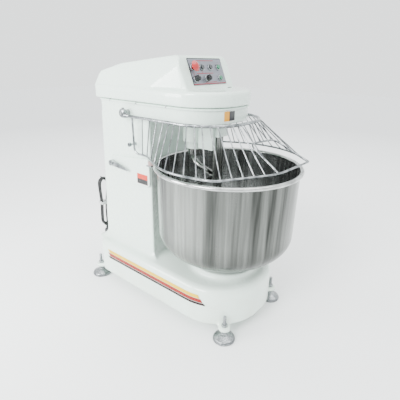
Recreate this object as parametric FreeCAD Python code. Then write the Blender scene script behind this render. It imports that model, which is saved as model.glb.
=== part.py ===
"""Spiral dough mixer: fixed base, column and head, turning bowl, spiral tool, breaker bar,
lifting wire guard, control panel, levelling feet, two belt drives and a mains cord on a hook.

Millimetres.  The design frame has the bowl's axis at x = y = 0, the floor at z = 0, the column
at +Y and the operator at -Y.  Every piece is moved along Y at export, so that the origin lies
under the middle of the machine."""

import FreeCAD
import Part
import math
import os

V = FreeCAD.Vector
X, Y, Z = V(1, 0, 0), V(0, 1, 0), V(0, 0, 1)

# ---- base casting ----
BASE_HALF = 280.0          # half width of the base
BASE_LOW = 65.0            # underside of the base
BASE_TOP = 260.0           # flat top of the base
BASE_FRONT = -235.0        # front end of the base
BASE_REAR = 750.0          # rear end of the base
BASE_NOSE_R = 255.0        # front corner radius
BASE_TAIL_R = 90.0         # rear corner radius
BASE_EDGE_R = 34.0         # rounding along the top edge
BASE_WALL = 8.0
PLATE_T = 3.0              # sheet of the bottom plate
SCREW_R = 4.0
LID_SCREW_R = 2.5
HEAD_H = 3.5               # height of the small screw heads

STRIPE_T = 0.8
STRIPE_HEIGHTS = (18.0, 18.0, 12.0)
STRIPE_TOP = 222.0
STRIPE_PITCH = 21.0
STRIPE_FRONT = -50.0       # front end of the top stripe
STRIPE_STEP = 14.0         # each lower stripe reaches further forward

# ---- levelling feet ----
FOOT_FRONT = (BASE_HALF - 61.5, BASE_FRONT + 59.0)
FOOT_REAR = (BASE_HALF - 25.5, BASE_REAR)
PAD_R = 54.0
PAD_BAND = 10.0            # light rim band at the floor
PAD_H = 36.0
STUD_R = 8.0
STUD_TOP = 134.0
LUG_LOW = BASE_LOW - 10.0
LUG_TOP = LUG_LOW + 20.0
LUG_R = 30.0
LUG_REACH = 60.0           # from the foot into the casting
LUG_RISE = 70.0            # height of the flare at its root
NUT_H = 13.0
NUT_R = 15.0

# ---- column ----
COL_HALF = 206.0
COL_FRONT = 280.0          # where the sides would start, before the hollow for the bowl
COL_REAR = BASE_REAR - 5.0  # rear at the bottom
COL_LEAN = 2.5             # degrees that the rear leans forward
COL_CORNER_R = 40.0
COL_FRONT_R = 22.0         # rounding of the two front corners
COL_WALL = 4.0
BOWL_HOLLOW_GAP = 20.0     # bowl rim to the column's hollow front

# ---- head ----
HEAD_LOW = 1000.0          # underside of the head, which sets how tall the machine is
HEAD_TOP = HEAD_LOW + 73.0
HEAD_HALF = COL_HALF        # flush with the column
HEAD_FRONT = -38.0
HEAD_REAR = COL_REAR - 37.0
HEAD_NOSE_R = 165.0
HEAD_WALL = 5.0
HEAD_FLOOR = 8.0
FLANGE_T = 6.0             # the lid sits on this outward flange
FLANGE_OUT = 11.0
LID_HALF = HEAD_HALF + 12.0
LID_FRONT = HEAD_FRONT - 14.0
LID_REAR = HEAD_REAR + 34.0
LID_NOSE_R = 188.0
LID_SHOULDER = HEAD_TOP + 67.0
LID_TOP = LID_SHOULDER + 145.0
LID_WALL = 4.0
LID_EDGE_R = 16.0
HUMP_HALF_LOW = LID_HALF - 7.0
HUMP_HALF_TOP = LID_HALF - 53.0
HUMP_FACE_HALF = LID_HALF - 66.0     # half width of the leaning face
HUMP_FULL_Y = 330.0        # the hump reaches its full width here
HUMP_FOOT_Y = 108.0        # where the leaning face meets the shoulder
HUMP_FACE_LEAN = 23.0      # degrees
HUMP_BACK_Y = LID_REAR - 142.0        # rear end of the sloping top
HUMP_BACK_Z = LID_SHOULDER + 96.0
HUMP_TAIL_Y = LID_REAR - 14.0

# ---- control panel, sizes along X (u) and up the leaning face (v) ----
PANEL_W = 240.0
PANEL_H = 122.0
PANEL_T = 2.0
PANEL_MID_V = 80.0         # up the face from the shoulder
TOP_ROW_V = 18.0
LOW_ROW_V = -33.0
BEZEL_R = 15.0
BEZEL_H = 5.0
BUTTON_R = 9.5
BUTTON_GAP = 0.3
BUTTON_TRAVEL = 3.0
BUTTON_PROUD = 5.0
ESTOP_R = 24.0
ESTOP_TRAVEL = 5.0
KNOB_R = 14.0
KNOB_H = 18.0
STEM_R = 5.0
BLOCK_DEPTH = 34.0         # contact blocks behind the lid

# ---- bowl ----
BOWL_RIM_R = 340.0
BOWL_LOW_R = BOWL_RIM_R - 5.0  # wall radius where the dish starts
RIM_Z = HEAD_LOW - 206.0
DISH_Z = 470.0             # height where the dish starts
BOWL_FLOOR = 305.0         # underside of the bowl
DISH_HALF = BOWL_LOW_R - 19.0          # half width of the dish's ellipse
BOWL_WALL = 3.0
BEAD_R = 9.5
RIM_OUT = BOWL_RIM_R + 2 * BEAD_R - BOWL_WALL

# ---- bowl drive ----
TABLE_R = 120.0
TABLE_GAP = 3.0
DECK_R = 170.0             # raised round deck on the base
DECK_TOP = 288.0
SHAFT_R = 22.0
BEARING_R = 40.0
BEARING_W = 20.0
BOWL_BOLTS = 6
BOLT_CIRCLE_R = 80.0
BOLT_R = 5.0
BOLT_HEAD_R = 9.0
RUN_GAP = 0.05             # radial running clearance
BOWL_PULLEY_R = 150.0
BOWL_PULLEY_Z = 112.0
PULLEY_W = 30.0
BOWL_MOTOR_Y = 480.0
BOWL_MOTOR_R = 72.0
BOWL_MOTOR_H = 210.0
BOWL_MOTOR_PULLEY_R = 50.0
MOTOR_SHAFT_R = 12.0
BELT_T = 9.0
BELT_GAP = 1.0

# ---- spiral tool and its drive ----
TOOL_Y = 208.0
TOOL_ROD_R = 15.0
TOOL_GAP = 8.0             # tool to bowl wall
TOOL_TURNS = 1.25
TOOL_HUB_R = 35.0
HOUSING_R = 62.0
HOUSING_STEP_Z = HEAD_LOW - 115.0
HOUSING_LOW_R = 46.0
HOUSING_LOW_Z = HOUSING_STEP_Z - 35.0
SEAL_H = 20.0
SPINDLE_PULLEY_R = 140.0
SPINDLE_PULLEY_Z = HEAD_LOW + 35.0
SPIRAL_MOTOR_Y = 560.0
SPIRAL_MOTOR_R = 95.0
SPIRAL_MOTOR_H = 270.0
SPIRAL_MOTOR_PULLEY_R = 55.0

# ---- breaker bar ----
BAR_W = 46.0
BAR_D = 34.0
BAR_GAP = 12.0             # tool to breaker bar
BAR_FLOOR_GAP = 16.0
BAR_BLOCK_LOW = HEAD_LOW - 72.0

# ---- wire guard ----
GUARD_HALF = HEAD_HALF + 32.0
GUARD_FRONT = HEAD_FRONT - 60.0
GUARD_TOP_Z = HEAD_LOW + 6.0
GUARD_CORNER_R = 200.0
TOP_ROD_R = 7.0
RING_ROD_R = 5.0
LOOP_ROD_R = 4.0
WIRE_R = 2.6
RING_R = RIM_OUT + 4.0
RING_Z = RIM_Z + 36.0
PIVOT_Y = 468.0
PIVOT_Z = GUARD_TOP_Z + 10.0
PANEL_REAR = 396.0         # rear edge of the guard's side panels
PIN_R = 8.0
BUSH_R = 12.0
CLAMP_T = 24.0

# ---- guide rollers ----
ROLLER_R = 15.0
ROLLER_H = 20.0
ROLLER_GAP = 0.3
ROLLER_OUT = 17.5          # the roller's axis stands this far outside the column's face

# ---- cord ----
CORD_R = 4.5
HANK_X = -168.0
HANK_Y = 777.0
HANK_LOW = 296.0
HANK_TOP = 606.0
HANK_W = 78.0
HANK_D = 36.0
PLUG_X = HANK_X + 10.0     # the plug hangs under the hank's outer strands
PLUG_Y = HANK_Y + 14.0
PLUG_R = 19.0
PLUG_NECK_R = 8.0
PLUG_PIN_R = 2.4
PIN_PITCH = 19.0

COL_TOP = HEAD_LOW
HOLLOW_R = RIM_OUT + BOWL_HOLLOW_GAP
Y_SHIFT = -0.5 * (FOOT_REAR[1] + PAD_R - RIM_OUT)
SWITCHGEAR = []            # electrical box and the guard's limit switch, saved as one group
BEARINGS = []              # bearings and bushes in the fixed frame, saved as one group
PINS = []                  # fixed pins on the column's sides, saved as one group
FASTENERS = []             # screws and nuts of the fixed frame, saved as one group


# ---------------------------------------------------------------- helpers
def box(x0, x1, y0, y1, z0, z1):
    return Part.makeBox(x1 - x0, y1 - y0, z1 - z0, V(x0, y0, z0))


def cyl(r, p, q):
    d = q - p
    return Part.makeCylinder(r, d.Length, p, d)


def disc(r, x, y, z0, z1):
    return cyl(r, V(x, y, z0), V(x, y, z1))


def tube(r_out, r_in, x, y, z0, z1):
    return disc(r_out, x, y, z0, z1).cut(disc(r_in, x, y, z0, z1))


def both(shape):
    """The shape and its mirror image across x = 0."""
    return Part.makeCompound([shape, shape.mirror(V(0, 0, 0), X)])


def rounded(corners, closed=False):
    """Straight runs joined by tangent arcs; each corner is (point, radius)."""
    pts = [c[0] for c in corners]
    n = len(pts)
    edges, starts, ends = [], list(pts), list(pts)
    arcs = {}
    inner = range(n) if closed else range(1, n - 1)
    for i in inner:
        r = corners[i][1]
        if r <= 0:
            continue
        u = (pts[i - 1] - pts[i]).normalize()
        w = (pts[(i + 1) % n] - pts[i]).normalize()
        half = u.getAngle(w) / 2
        reach = r / math.tan(half)
        starts[i] = pts[i] + u * reach
        ends[i] = pts[i] + w * reach
        mid = pts[i] + (u + w).normalize() * (r / math.sin(half) - r)
        arcs[i] = Part.Arc(starts[i], mid, ends[i]).toShape()
    for i in range(n):
        if i in arcs:
            edges.append(arcs[i])
        j = (i + 1) % n
        if (closed or j) and (starts[j] - ends[i]).Length > 1e-4:
            edges.append(Part.LineSegment(ends[i], starts[j]).toShape())
    return Part.Wire(edges)


def slab(corners, direction):
    return Part.Face(rounded(corners, True)).extrude(direction)


def plan(half, front, rear, nose_r, tail_r, z0, z1):
    """A body with one rounded rectangle as its plan."""
    corners = [(V(-half, rear, z0), tail_r), (V(-half, front, z0), nose_r),
               (V(half, front, z0), nose_r), (V(half, rear, z0), tail_r)]
    return slab(corners, V(0, 0, z1 - z0))


def rod(corners, r):
    """A bent round rod along a path of runs and arcs."""
    path = rounded(corners)
    start = corners[0][0]
    heading = corners[1][0] - start
    ring = Part.Wire(Part.makeCircle(r, start, heading))
    return path.makePipeShell([ring], True, False)


def round_top(shape, z, r):
    edges = [e for e in shape.Edges if all(abs(v.Z - z) < 1e-3 for v in e.Vertexes)
             and abs(e.BoundBox.ZMin - z) < 1e-3]
    return shape.makeFillet(r, edges)


def hexagon(r, x, y, z0, z1):
    pts = [V(x + r * math.cos(math.radians(60 * k)), y + r * math.sin(math.radians(60 * k)), z0)
           for k in range(6)]
    return slab([(p, 0) for p in pts], V(0, 0, z1 - z0))


def belt(x, y0, r0, y1, r1, z0, z1, t, gap):
    """An open belt round two pulleys whose axes are both at x."""
    def loop(a, b):
        span = y1 - y0
        lean = math.asin((a - b) / span)
        s, c = math.sin(lean), math.cos(lean)
        p0, q0 = V(x + a * c, y0 + a * s, z0), V(x + b * c, y1 + b * s, z0)
        p1, q1 = V(x - a * c, y0 + a * s, z0), V(x - b * c, y1 + b * s, z0)
        wire = Part.Wire([Part.LineSegment(p0, q0).toShape(),
                          Part.Arc(q0, V(x, y1 + b, z0), q1).toShape(),
                          Part.LineSegment(q1, p1).toShape(),
                          Part.Arc(p1, V(x, y0 - a, z0), p0).toShape()])
        return Part.Face(wire).extrude(V(0, 0, z1 - z0))
    return loop(r0 + gap + t, r1 + gap + t).cut(loop(r0 + gap, r1 + gap))


def save(node, shape):
    """One STEP per sub-part, in the machine's own frame."""
    moved = shape.copy()
    moved.translate(V(0, Y_SHIFT, 0))
    moved.exportStep("parts/%s.step" % node)


# ---------------------------------------------------------------- base and feet
FEET = [("front_left", -FOOT_FRONT[0], FOOT_FRONT[1]), ("front_right", FOOT_FRONT[0], FOOT_FRONT[1]),
        ("rear_left", -FOOT_REAR[0], FOOT_REAR[1]), ("rear_right", FOOT_REAR[0], FOOT_REAR[1])]
POSTS = [(sx * (BASE_HALF - 60), y) for sx in (-1, 1) for y in (60.0, BASE_REAR - 70)]


def base_shape(inset):
    top = BASE_TOP - inset
    low = BASE_LOW - (1.0 if inset else 0.0)
    body = plan(BASE_HALF - inset, BASE_FRONT + inset, BASE_REAR - inset,
                BASE_NOSE_R - inset, BASE_TAIL_R - inset, low, top)
    return round_top(body, top, BASE_EDGE_R - inset)


def lug(x, y):
    """A flat ear with a web that flares up into the casting's corner, spot faced for the nut."""
    inward = V(-math.copysign(0.72, x), -math.copysign(0.69, y - 250), 0)
    side = V(-inward.y, inward.x, 0) * LUG_R
    low = V(x, y, LUG_LOW)
    root = low + inward * LUG_REACH
    ear = disc(LUG_R, x, y, LUG_LOW, LUG_TOP)
    foot = [low + side, low - side, root - side, root + side]
    ear = ear.fuse(slab([(p, 0) for p in foot], V(0, 0, LUG_TOP - LUG_LOW)))
    up = V(0, 0, LUG_TOP - LUG_LOW)
    side = side * 0.9
    web = [low + up + side - inward * LUG_R * 0.4, root + up + side, root + up * (1 + LUG_RISE / up.z) + side]
    web = slab([(p, 0) for p in web], side * -2)
    return ear.fuse(web).cut(disc(NUT_R + 2, x, y, LUG_TOP, LUG_TOP + 200))


def build_base():
    solid = base_shape(0)
    for _, x, y in FEET:
        solid = solid.fuse(lug(x, y))
    hollow = base_shape(BASE_WALL)
    posts = [disc(9.0, x, y, BASE_LOW + PLATE_T, BASE_TOP - 2) for x, y in POSTS]
    for post in posts:
        hollow = hollow.cut(post)
    solid = solid.cut(hollow)
    solid = solid.cut(disc(BEARING_R + 12, 0, 0, BASE_TOP - 20, BASE_TOP + 1))
    solid = solid.cut(disc(30.0, 0, BOWL_MOTOR_Y, BASE_TOP - 20, BASE_TOP + 1))
    for x, y in POSTS:
        solid = solid.cut(disc(SCREW_R, x, y, BASE_LOW, BASE_LOW + 25))
    for _, x, y in FEET:
        solid = solid.cut(disc(STUD_R + RUN_GAP, x, y, LUG_LOW - 5, LUG_TOP + 5))
    save("base_casting", solid)

    inset = BASE_WALL + 0.5
    plate = plan(BASE_HALF - inset, BASE_FRONT + inset, BASE_REAR - inset,
                 BASE_NOSE_R - inset, BASE_TAIL_R - inset, BASE_LOW, BASE_LOW + PLATE_T)
    screws = []
    for x, y in POSTS:
        plate = plate.cut(disc(SCREW_R, x, y, BASE_LOW - 1, BASE_LOW + PLATE_T + 1))
        screws.append(disc(SCREW_R, x, y, BASE_LOW, BASE_LOW + 22).fuse(
            disc(SCREW_R * 2, x, y, BASE_LOW - HEAD_H, BASE_LOW)))
    save("base_bottom_plate", plate)
    FASTENERS.extend(screws)


def build_feet():
    for name, x, y in FEET:
        groove = PAD_BAND + 3
        profile = [V(0, 0, 0), V(PAD_R, 0, 0), V(PAD_R, 0, PAD_BAND), V(PAD_R - 4, 0, PAD_BAND),
                   V(PAD_R - 4, 0, groove), V(PAD_R - 2, 0, groove), V(STUD_R + 7, 0, PAD_H),
                   V(STUD_R + 7, 0, PAD_H + 8), V(STUD_R, 0, PAD_H + 8), V(STUD_R, 0, STUD_TOP - 1.5),
                   V(STUD_R - 1.5, 0, STUD_TOP), V(0, 0, STUD_TOP)]
        foot = Part.Face(Part.makePolygon(profile + [profile[0]])).revolve(V(0, 0, 0), Z, 360)
        foot.translate(V(x, y, 0))
        save("foot_" + name, foot)
        FASTENERS.append(hexagon(NUT_R, x, y, LUG_TOP, LUG_TOP + NUT_H).cut(
            disc(STUD_R + RUN_GAP, x, y, LUG_TOP - 1, LUG_TOP + NUT_H + 1)))


def build_stripes():
    """Three thin trim strips on each long side, one above the other, with slanted ends."""
    skin = plan(BASE_HALF + STRIPE_T, BASE_FRONT - STRIPE_T, BASE_REAR + STRIPE_T, BASE_NOSE_R + STRIPE_T,
                BASE_TAIL_R + STRIPE_T, BASE_LOW, BASE_TOP - BASE_EDGE_R)
    skin = skin.cut(plan(BASE_HALF, BASE_FRONT, BASE_REAR, BASE_NOSE_R, BASE_TAIL_R, BASE_LOW, BASE_TOP))
    reach = BASE_HALF + BASE_NOSE_R
    strips = []
    for k, height in enumerate(STRIPE_HEIGHTS):
        z1 = STRIPE_TOP - k * STRIPE_PITCH
        z0 = z1 - height
        front = STRIPE_FRONT - k * STRIPE_STEP
        rear = BASE_REAR - BASE_TAIL_R - 30
        ends = [V(-reach, front - STRIPE_STEP * 0.6, z0), V(-reach, rear - height, z0), V(-reach, rear, z1),
                V(-reach, front, z1)]
        strip = skin.common(slab([(p, 0) for p in ends], V(2 * reach, 0, 0)))
        strips += strip.Solids
    save("side_stripes", Part.makeCompound(strips))


# ---------------------------------------------------------------- column
def rear_slab(t0, t1, x0, x1, z0, z1):
    """A plate parallel to the leaning rear of the column, from depth t0 to t1 outward."""
    plate = box(x0, x1, t0, t1, z0 - BASE_TOP, z1 - BASE_TOP)
    plate.rotate(V(0, 0, 0), X, COL_LEAN)
    plate.translate(V(0, COL_REAR, BASE_TOP))
    return plate


def column_solid(inset):
    body = plan(COL_HALF - inset, COL_FRONT, COL_REAR - inset, 0, COL_CORNER_R - inset, BASE_TOP, COL_TOP)
    body = body.cut(disc(HOLLOW_R + inset, 0, 0, BASE_TOP - 1, COL_TOP + 1))
    corners = [e for e in body.Edges if e.BoundBox.ZLength > 100 and e.BoundBox.YMax < HOLLOW_R
               and abs(e.BoundBox.XMin) > COL_HALF * 0.8]
    body = body.makeFillet(COL_FRONT_R - inset, corners)
    return body.cut(rear_slab(-inset, 200, -400, 400, BASE_TOP - 100, COL_TOP + 200))


COVER_X = COL_HALF - 46.0
COVER_LOW = BASE_TOP + 50.0
COVER_TOP = COL_TOP - 40.0
GLAND_X, GLAND_Z = -20.0, 690.0
HOOK_R = 4.0
HOOK_Z = HANK_TOP - 2 * CORD_R - HOOK_R   # the top folds rest on it
GLAND_R = 9.0


def build_column():
    shell = column_solid(0).cut(column_solid(COL_WALL))
    opening = rear_slab(-30, 30, -COVER_X + 18, COVER_X - 18, COVER_LOW + 18, COVER_TOP - 18)
    shell = shell.cut(opening)
    cover = rear_slab(0, 2, -COVER_X, COVER_X, COVER_LOW, COVER_TOP)
    screws = []
    for sx in (-1, 1):
        for k in range(4):
            x = sx * (COVER_X - 9)
            z = COVER_LOW + 15 + k * (COVER_TOP - COVER_LOW - 30) / 3
            hole = rear_cylinder(3.0, x, z, -12, 2)
            shell = shell.cut(hole)
            cover = cover.cut(hole)
            screws.append(hole.fuse(rear_cylinder(6.0, x, z, 2, 2 + HEAD_H)))
    gland_hole = rear_cylinder(GLAND_R, GLAND_X, GLAND_Z, -10, 10)
    hook_hole = rear_cylinder(HOOK_R, HANK_X, HOOK_Z, -COL_WALL, 10)
    save("column_shell", shell.cut(hook_hole))
    save("column_rear_cover", cover.cut(gland_hole).cut(hook_hole))
    FASTENERS.extend(screws)


def rear_cylinder(r, x, z, t0, t1):
    """A round pin square to the leaning rear face."""
    pin = cyl(r, V(x, t0, z - BASE_TOP), V(x, t1, z - BASE_TOP))
    pin.rotate(V(0, 0, 0), X, COL_LEAN)
    pin.translate(V(0, COL_REAR, BASE_TOP))
    return pin


SIDE_T = 12.0
SIDE_FRONT = math.sqrt(HOLLOW_R ** 2 - COL_HALF ** 2) + 4.4
SIDE_REAR = SIDE_FRONT + 303.0
LABEL_T = 1.0
LABEL_W, LABEL_H = 83.0, 58.0
LEVER_Y, LEVER_Z = SIDE_REAR - 26.0, RIM_Z - 52.0
LEVER_LEN = 130.0
LEVER_PIN_R = 6.0


def build_side_cover():
    """A raised arm casting on each side, a blank label, and the latch lever on the left one."""
    x = -COL_HALF
    face = x - SIDE_T
    pts = [(V(x, SIDE_REAR, RIM_Z - 17), 10), (V(x, SIDE_FRONT, RIM_Z + 12), 14),
           (V(x, SIDE_FRONT, RIM_Z - 136), 20), (V(x, SIDE_FRONT + 111, RIM_Z - 140), 60),
           (V(x, SIDE_REAR, RIM_Z - 82), 12)]
    cover = slab(pts, V(-SIDE_T, 0, 0))
    rim = [e for e in cover.Edges if abs(e.BoundBox.XMin - face) < 1e-3 and e.BoundBox.XLength < 0.01]
    cover = cover.makeFillet(5.0, rim)
    save("side_covers", both(cover))
    label_y, label_z = SIDE_FRONT + 9, RIM_Z - 128
    save("side_label", box(face - LABEL_T, face, label_y, label_y + LABEL_W, label_z, label_z + LABEL_H))
    pin = cyl(LEVER_PIN_R, V(face, LEVER_Y, LEVER_Z), V(face - 26, LEVER_Y, LEVER_Z))
    PINS.append(pin)
    hub = cyl(15.0, V(face - 1, LEVER_Y, LEVER_Z), V(face - 24, LEVER_Y, LEVER_Z))
    root = V(face - 8, LEVER_Y, LEVER_Z)
    tip = root + V(0, -LEVER_LEN, -18)
    blade = slab([(root + V(0, 8, 17), 6), (root + V(0, 6, -15), 6),
                  (tip + V(0, 0, -4), 3), (tip + V(0, -2, 4), 3)], V(-9, 0, 0))
    bore = cyl(LEVER_PIN_R + RUN_GAP, V(x, LEVER_Y, LEVER_Z), V(x - 80, LEVER_Y, LEVER_Z))
    save("side_lever", hub.fuse(blade).cut(bore))


# ---------------------------------------------------------------- head and lid
def head_plan(inset, z0, z1):
    return plan(HEAD_HALF - inset, HEAD_FRONT + inset, HEAD_REAR - inset,
                HEAD_NOSE_R - inset, COL_CORNER_R - min(inset, 10), z0, z1)


def build_head():
    solid = head_plan(0, HEAD_LOW, HEAD_TOP)
    solid = solid.cut(head_plan(HEAD_WALL, HEAD_LOW + HEAD_FLOOR, HEAD_TOP + 1))
    flange = head_plan(-FLANGE_OUT, HEAD_TOP - FLANGE_T, HEAD_TOP).cut(
        head_plan(HEAD_WALL, HEAD_TOP - FLANGE_T - 1, HEAD_TOP + 1))
    solid = solid.fuse(flange)
    boss = box(-HEAD_HALF, -HEAD_HALF + 22, PIVOT_Y - 20, PIVOT_Y + 20, HEAD_LOW, PIVOT_Z + 20)
    solid = solid.fuse(boss).fuse(boss.mirror(V(0, 0, 0), X))
    solid = solid.cut(cyl(BUSH_R, V(-400, PIVOT_Y, PIVOT_Z), V(400, PIVOT_Y, PIVOT_Z)))
    solid = solid.cut(disc(HOUSING_R - 2, 0, TOOL_Y, HEAD_LOW - 1, HEAD_LOW + HEAD_FLOOR + 1))
    solid = solid.cut(disc(30, 0, SPIRAL_MOTOR_Y, HEAD_LOW - 1, HEAD_LOW + HEAD_FLOOR + 1))
    for x, y in LID_SCREWS:
        solid = solid.cut(disc(LID_SCREW_R, x, y, HEAD_TOP - 20, HEAD_TOP + 1))
    save("head_casting", solid)


LID_SCREWS = [(sx * (HEAD_HALF + 6), y) for sx in (-1, 1) for y in (200.0, 400.0, 600.0)]


def hump(inset):
    """The raised housing: a side outline and a front outline, each taken straight through."""
    lean = math.tan(math.radians(HUMP_FACE_LEAN))
    top = LID_TOP - inset
    low = LID_SHOULDER - 12
    foot = HUMP_FOOT_Y + inset * 1.09 - 12 * lean
    side = [(V(-300, foot, low), 0), (V(-300, foot + (top - low) * lean, top), 30 - inset),
            (V(-300, HUMP_BACK_Y - 60, HUMP_BACK_Z + 6 - inset), 120),
            (V(-300, HUMP_TAIL_Y - 30 - inset, HUMP_BACK_Z - 34), 50 - inset),
            (V(-300, HUMP_TAIL_Y - inset, low), 0)]
    w0, w1 = HUMP_HALF_LOW - inset, HUMP_HALF_TOP - inset
    front = [(V(-w0, 0, low), 0), (V(-w1, 0, LID_TOP + 4 - inset), 48 - inset),
             (V(w1, 0, LID_TOP + 4 - inset), 48 - inset), (V(w0, 0, low), 0)]
    wide, face = HUMP_HALF_LOW - inset, HUMP_FACE_HALF - inset
    above = [(V(-wide, 900, low), 0), (V(-wide, HUMP_FULL_Y, low), 200), (V(-face, 0, low), 0),
             (V(face, 0, low), 0), (V(wide, HUMP_FULL_Y, low), 200), (V(wide, 900, low), 0)]
    body = slab(side, V(600, 0, 0)).common(slab(front, V(0, 900, 0)))
    return body.common(slab(above, V(0, 0, 400)))


def lid_plan(inset, z0, z1):
    return plan(LID_HALF - inset, LID_FRONT + inset, LID_REAR - inset,
                LID_NOSE_R - inset, 50 - min(inset, 30), z0, z1)


def on_panel(u, v, n):
    """A point given across (u), up (v) and out of (n) the leaning face."""
    lean = math.radians(HUMP_FACE_LEAN)
    up = V(0, math.sin(lean), math.cos(lean))
    out = V(0, -math.cos(lean), math.sin(lean))
    foot = V(0, HUMP_FOOT_Y, LID_SHOULDER)
    return foot + X * u + up * (v + PANEL_MID_V) + out * n


def panel_cyl(r, u, v, n0, n1):
    return cyl(r, on_panel(u, v, n0), on_panel(u, v, n1))


def panel_slab(u0, u1, v0, v1, n0, n1, r=0.0):
    pts = [(on_panel(u0, v0, n0), r), (on_panel(u1, v0, n0), r),
           (on_panel(u1, v1, n0), r), (on_panel(u0, v1, n0), r)]
    return slab(pts, on_panel(0, 0, n1) - on_panel(0, 0, n0))


# name, u, v, kind
CONTROLS = [("emergency_button", -98.0, TOP_ROW_V, "mushroom"), ("button_light", -34.0, TOP_ROW_V, "push"),
            ("button_bowl_jog", 25.0, TOP_ROW_V, "push"), ("button_start", 84.0, TOP_ROW_V, "push"),
            ("timer_knob_low_speed", -96.0, LOW_ROW_V, "knob"),
            ("timer_knob_high_speed", -17.0, LOW_ROW_V, "knob"),
            ("button_bowl_start", 81.0, LOW_ROW_V, "push")]


def build_lid():
    lid = round_top(lid_plan(0, HEAD_TOP, LID_SHOULDER), LID_SHOULDER, LID_EDGE_R).fuse(hump(0))
    inner = lid_plan(LID_WALL, HEAD_TOP + LID_WALL, LID_SHOULDER - LID_WALL).fuse(hump(LID_WALL))
    lip = head_plan(HEAD_WALL, HEAD_TOP - 1, HEAD_TOP + LID_WALL + 1)
    lid = lid.cut(inner).cut(lip)
    for _, u, v, _ in CONTROLS:
        lid = lid.cut(panel_cyl(BEZEL_R - 4, u, v, -30, 10))
    screws = []
    for x, y in LID_SCREWS:
        lid = lid.cut(disc(LID_SCREW_R, x, y, HEAD_TOP - 1, HEAD_TOP + LID_WALL + 1))
        screws.append(disc(LID_SCREW_R, x, y, HEAD_TOP - FLANGE_T, HEAD_TOP + LID_WALL).fuse(
            disc(LID_SCREW_R * 1.8, x, y, HEAD_TOP - FLANGE_T - HEAD_H, HEAD_TOP - FLANGE_T)))
    save("head_lid", lid)
    FASTENERS.extend(screws)


def build_controls():
    panel = panel_slab(-PANEL_W / 2, PANEL_W / 2, -PANEL_H / 2, PANEL_H / 2, 0, PANEL_T, 4)
    bezels, blocks = [], []
    for name, u, v, kind in CONTROLS:
        panel = panel.cut(panel_cyl(BEZEL_R - 4, u, v, -1, PANEL_T + 1))
        bore = (BUTTON_R if kind == "push" else STEM_R) + BUTTON_GAP
        bezel = panel_cyl(BEZEL_R, u, v, PANEL_T, PANEL_T + BEZEL_H)
        bezel = bezel.fuse(panel_cyl(BEZEL_R - 4, u, v, -LID_WALL * 1.2, PANEL_T))
        bezels.append(bezel.cut(panel_cyl(bore, u, v, -40, 40)))
        back = -LID_WALL * 1.2
        floor = back - 10
        block = panel_slab(u - 14, u + 14, v - 14, v + 14, back - BLOCK_DEPTH, back)
        blocks.append(block.cut(panel_cyl(bore, u, v, floor, 0)))
        face = PANEL_T + BEZEL_H
        if kind == "push":
            cap = panel_cyl(BUTTON_R, u, v, floor + BUTTON_TRAVEL + 1, face + BUTTON_PROUD)
        elif kind == "knob":
            cap = panel_cyl(STEM_R, u, v, floor + 1, face + 2)
            base = on_panel(u, v, face + 1)
            grip = Part.makeCone(KNOB_R, KNOB_R * 0.8, KNOB_H, base, on_panel(u, v, 1) - on_panel(u, v, 0))
            pointer = panel_slab(u - 1.5, u + 1.5, v, v + KNOB_R * 0.85, face + KNOB_H, face + KNOB_H + 3)
            cap = cap.fuse(grip).fuse(pointer)
        else:
            cap = panel_cyl(STEM_R, u, v, floor + ESTOP_TRAVEL, face + 16)
            dome = Part.makeSphere(ESTOP_R * 1.25, on_panel(u, v, face + 14 + 14 - ESTOP_R * 1.25))
            head = panel_cyl(ESTOP_R, u, v, face + 14, face + 30).common(dome)
            cap = cap.fuse(panel_cyl(STEM_R + 4, u, v, face + 7, face + 14)).fuse(head)
        save(name, cap)
    save("control_panel", panel)
    save("button_bezels", Part.makeCompound(bezels))
    save("contact_blocks", Part.makeCompound(blocks))


BADGE_LEFT, BADGE_W = -88.0, 68.0


def build_badge():
    """A plain generic plate on the head's front left."""
    plate = head_plan(-1.2, HEAD_LOW + 12, HEAD_TOP - FLANGE_T - 4).cut(
        head_plan(0, HEAD_LOW, HEAD_TOP))
    keep = box(BADGE_LEFT, BADGE_LEFT + BADGE_W, HEAD_FRONT - 5, HEAD_FRONT + HEAD_NOSE_R, HEAD_LOW, HEAD_TOP)
    save("head_badge", plate.common(keep))


# ---------------------------------------------------------------- bowl and its drive
def dish_radius(z, inset):
    """Radius of the dish, inset from the outside, at height z below the wall."""
    middle = BOWL_LOW_R - DISH_HALF
    depth = DISH_Z - BOWL_FLOOR - inset
    q = (DISH_Z - z) / depth
    return middle + (DISH_HALF - inset) * math.sqrt(max(0.0, 1 - q * q))


def dish_height(r, inset):
    """Height of the dish's surface at radius r."""
    q = (r - BOWL_LOW_R + DISH_HALF) / (DISH_HALF - inset)
    return DISH_Z - (DISH_Z - BOWL_FLOOR - inset) * math.sqrt(1 - q * q)


def bowl_outline(inset, top):
    """Half section in the XZ plane, from the axis along the floor, dish and wall."""
    middle = BOWL_LOW_R - DISH_HALF
    centre = V(middle, 0, DISH_Z)
    wide, deep = DISH_HALF - inset, DISH_Z - BOWL_FLOOR - inset
    ellipse = Part.Ellipse(centre + V(wide, 0, 0), centre + V(0, 0, -deep), centre)
    start, end = centre + V(0, 0, -deep), centre + V(wide, 0, 0)
    a, b = ellipse.parameter(start), ellipse.parameter(end)
    low, high = min(a, b), max(a, b)
    if high - low > math.pi:
        low, high = high, low + 2 * math.pi
    arc = Part.ArcOfEllipse(ellipse, low, high).toShape()
    floor = V(0, 0, DISH_Z - deep)
    up = V(BOWL_RIM_R - inset, 0, top)
    edges = [Part.LineSegment(floor, start).toShape(), arc, Part.LineSegment(end, up).toShape(),
             Part.LineSegment(up, V(0, 0, top)).toShape(), Part.LineSegment(V(0, 0, top), floor).toShape()]
    return Part.Face(Part.Wire(Part.__sortEdges__(edges)))


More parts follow.
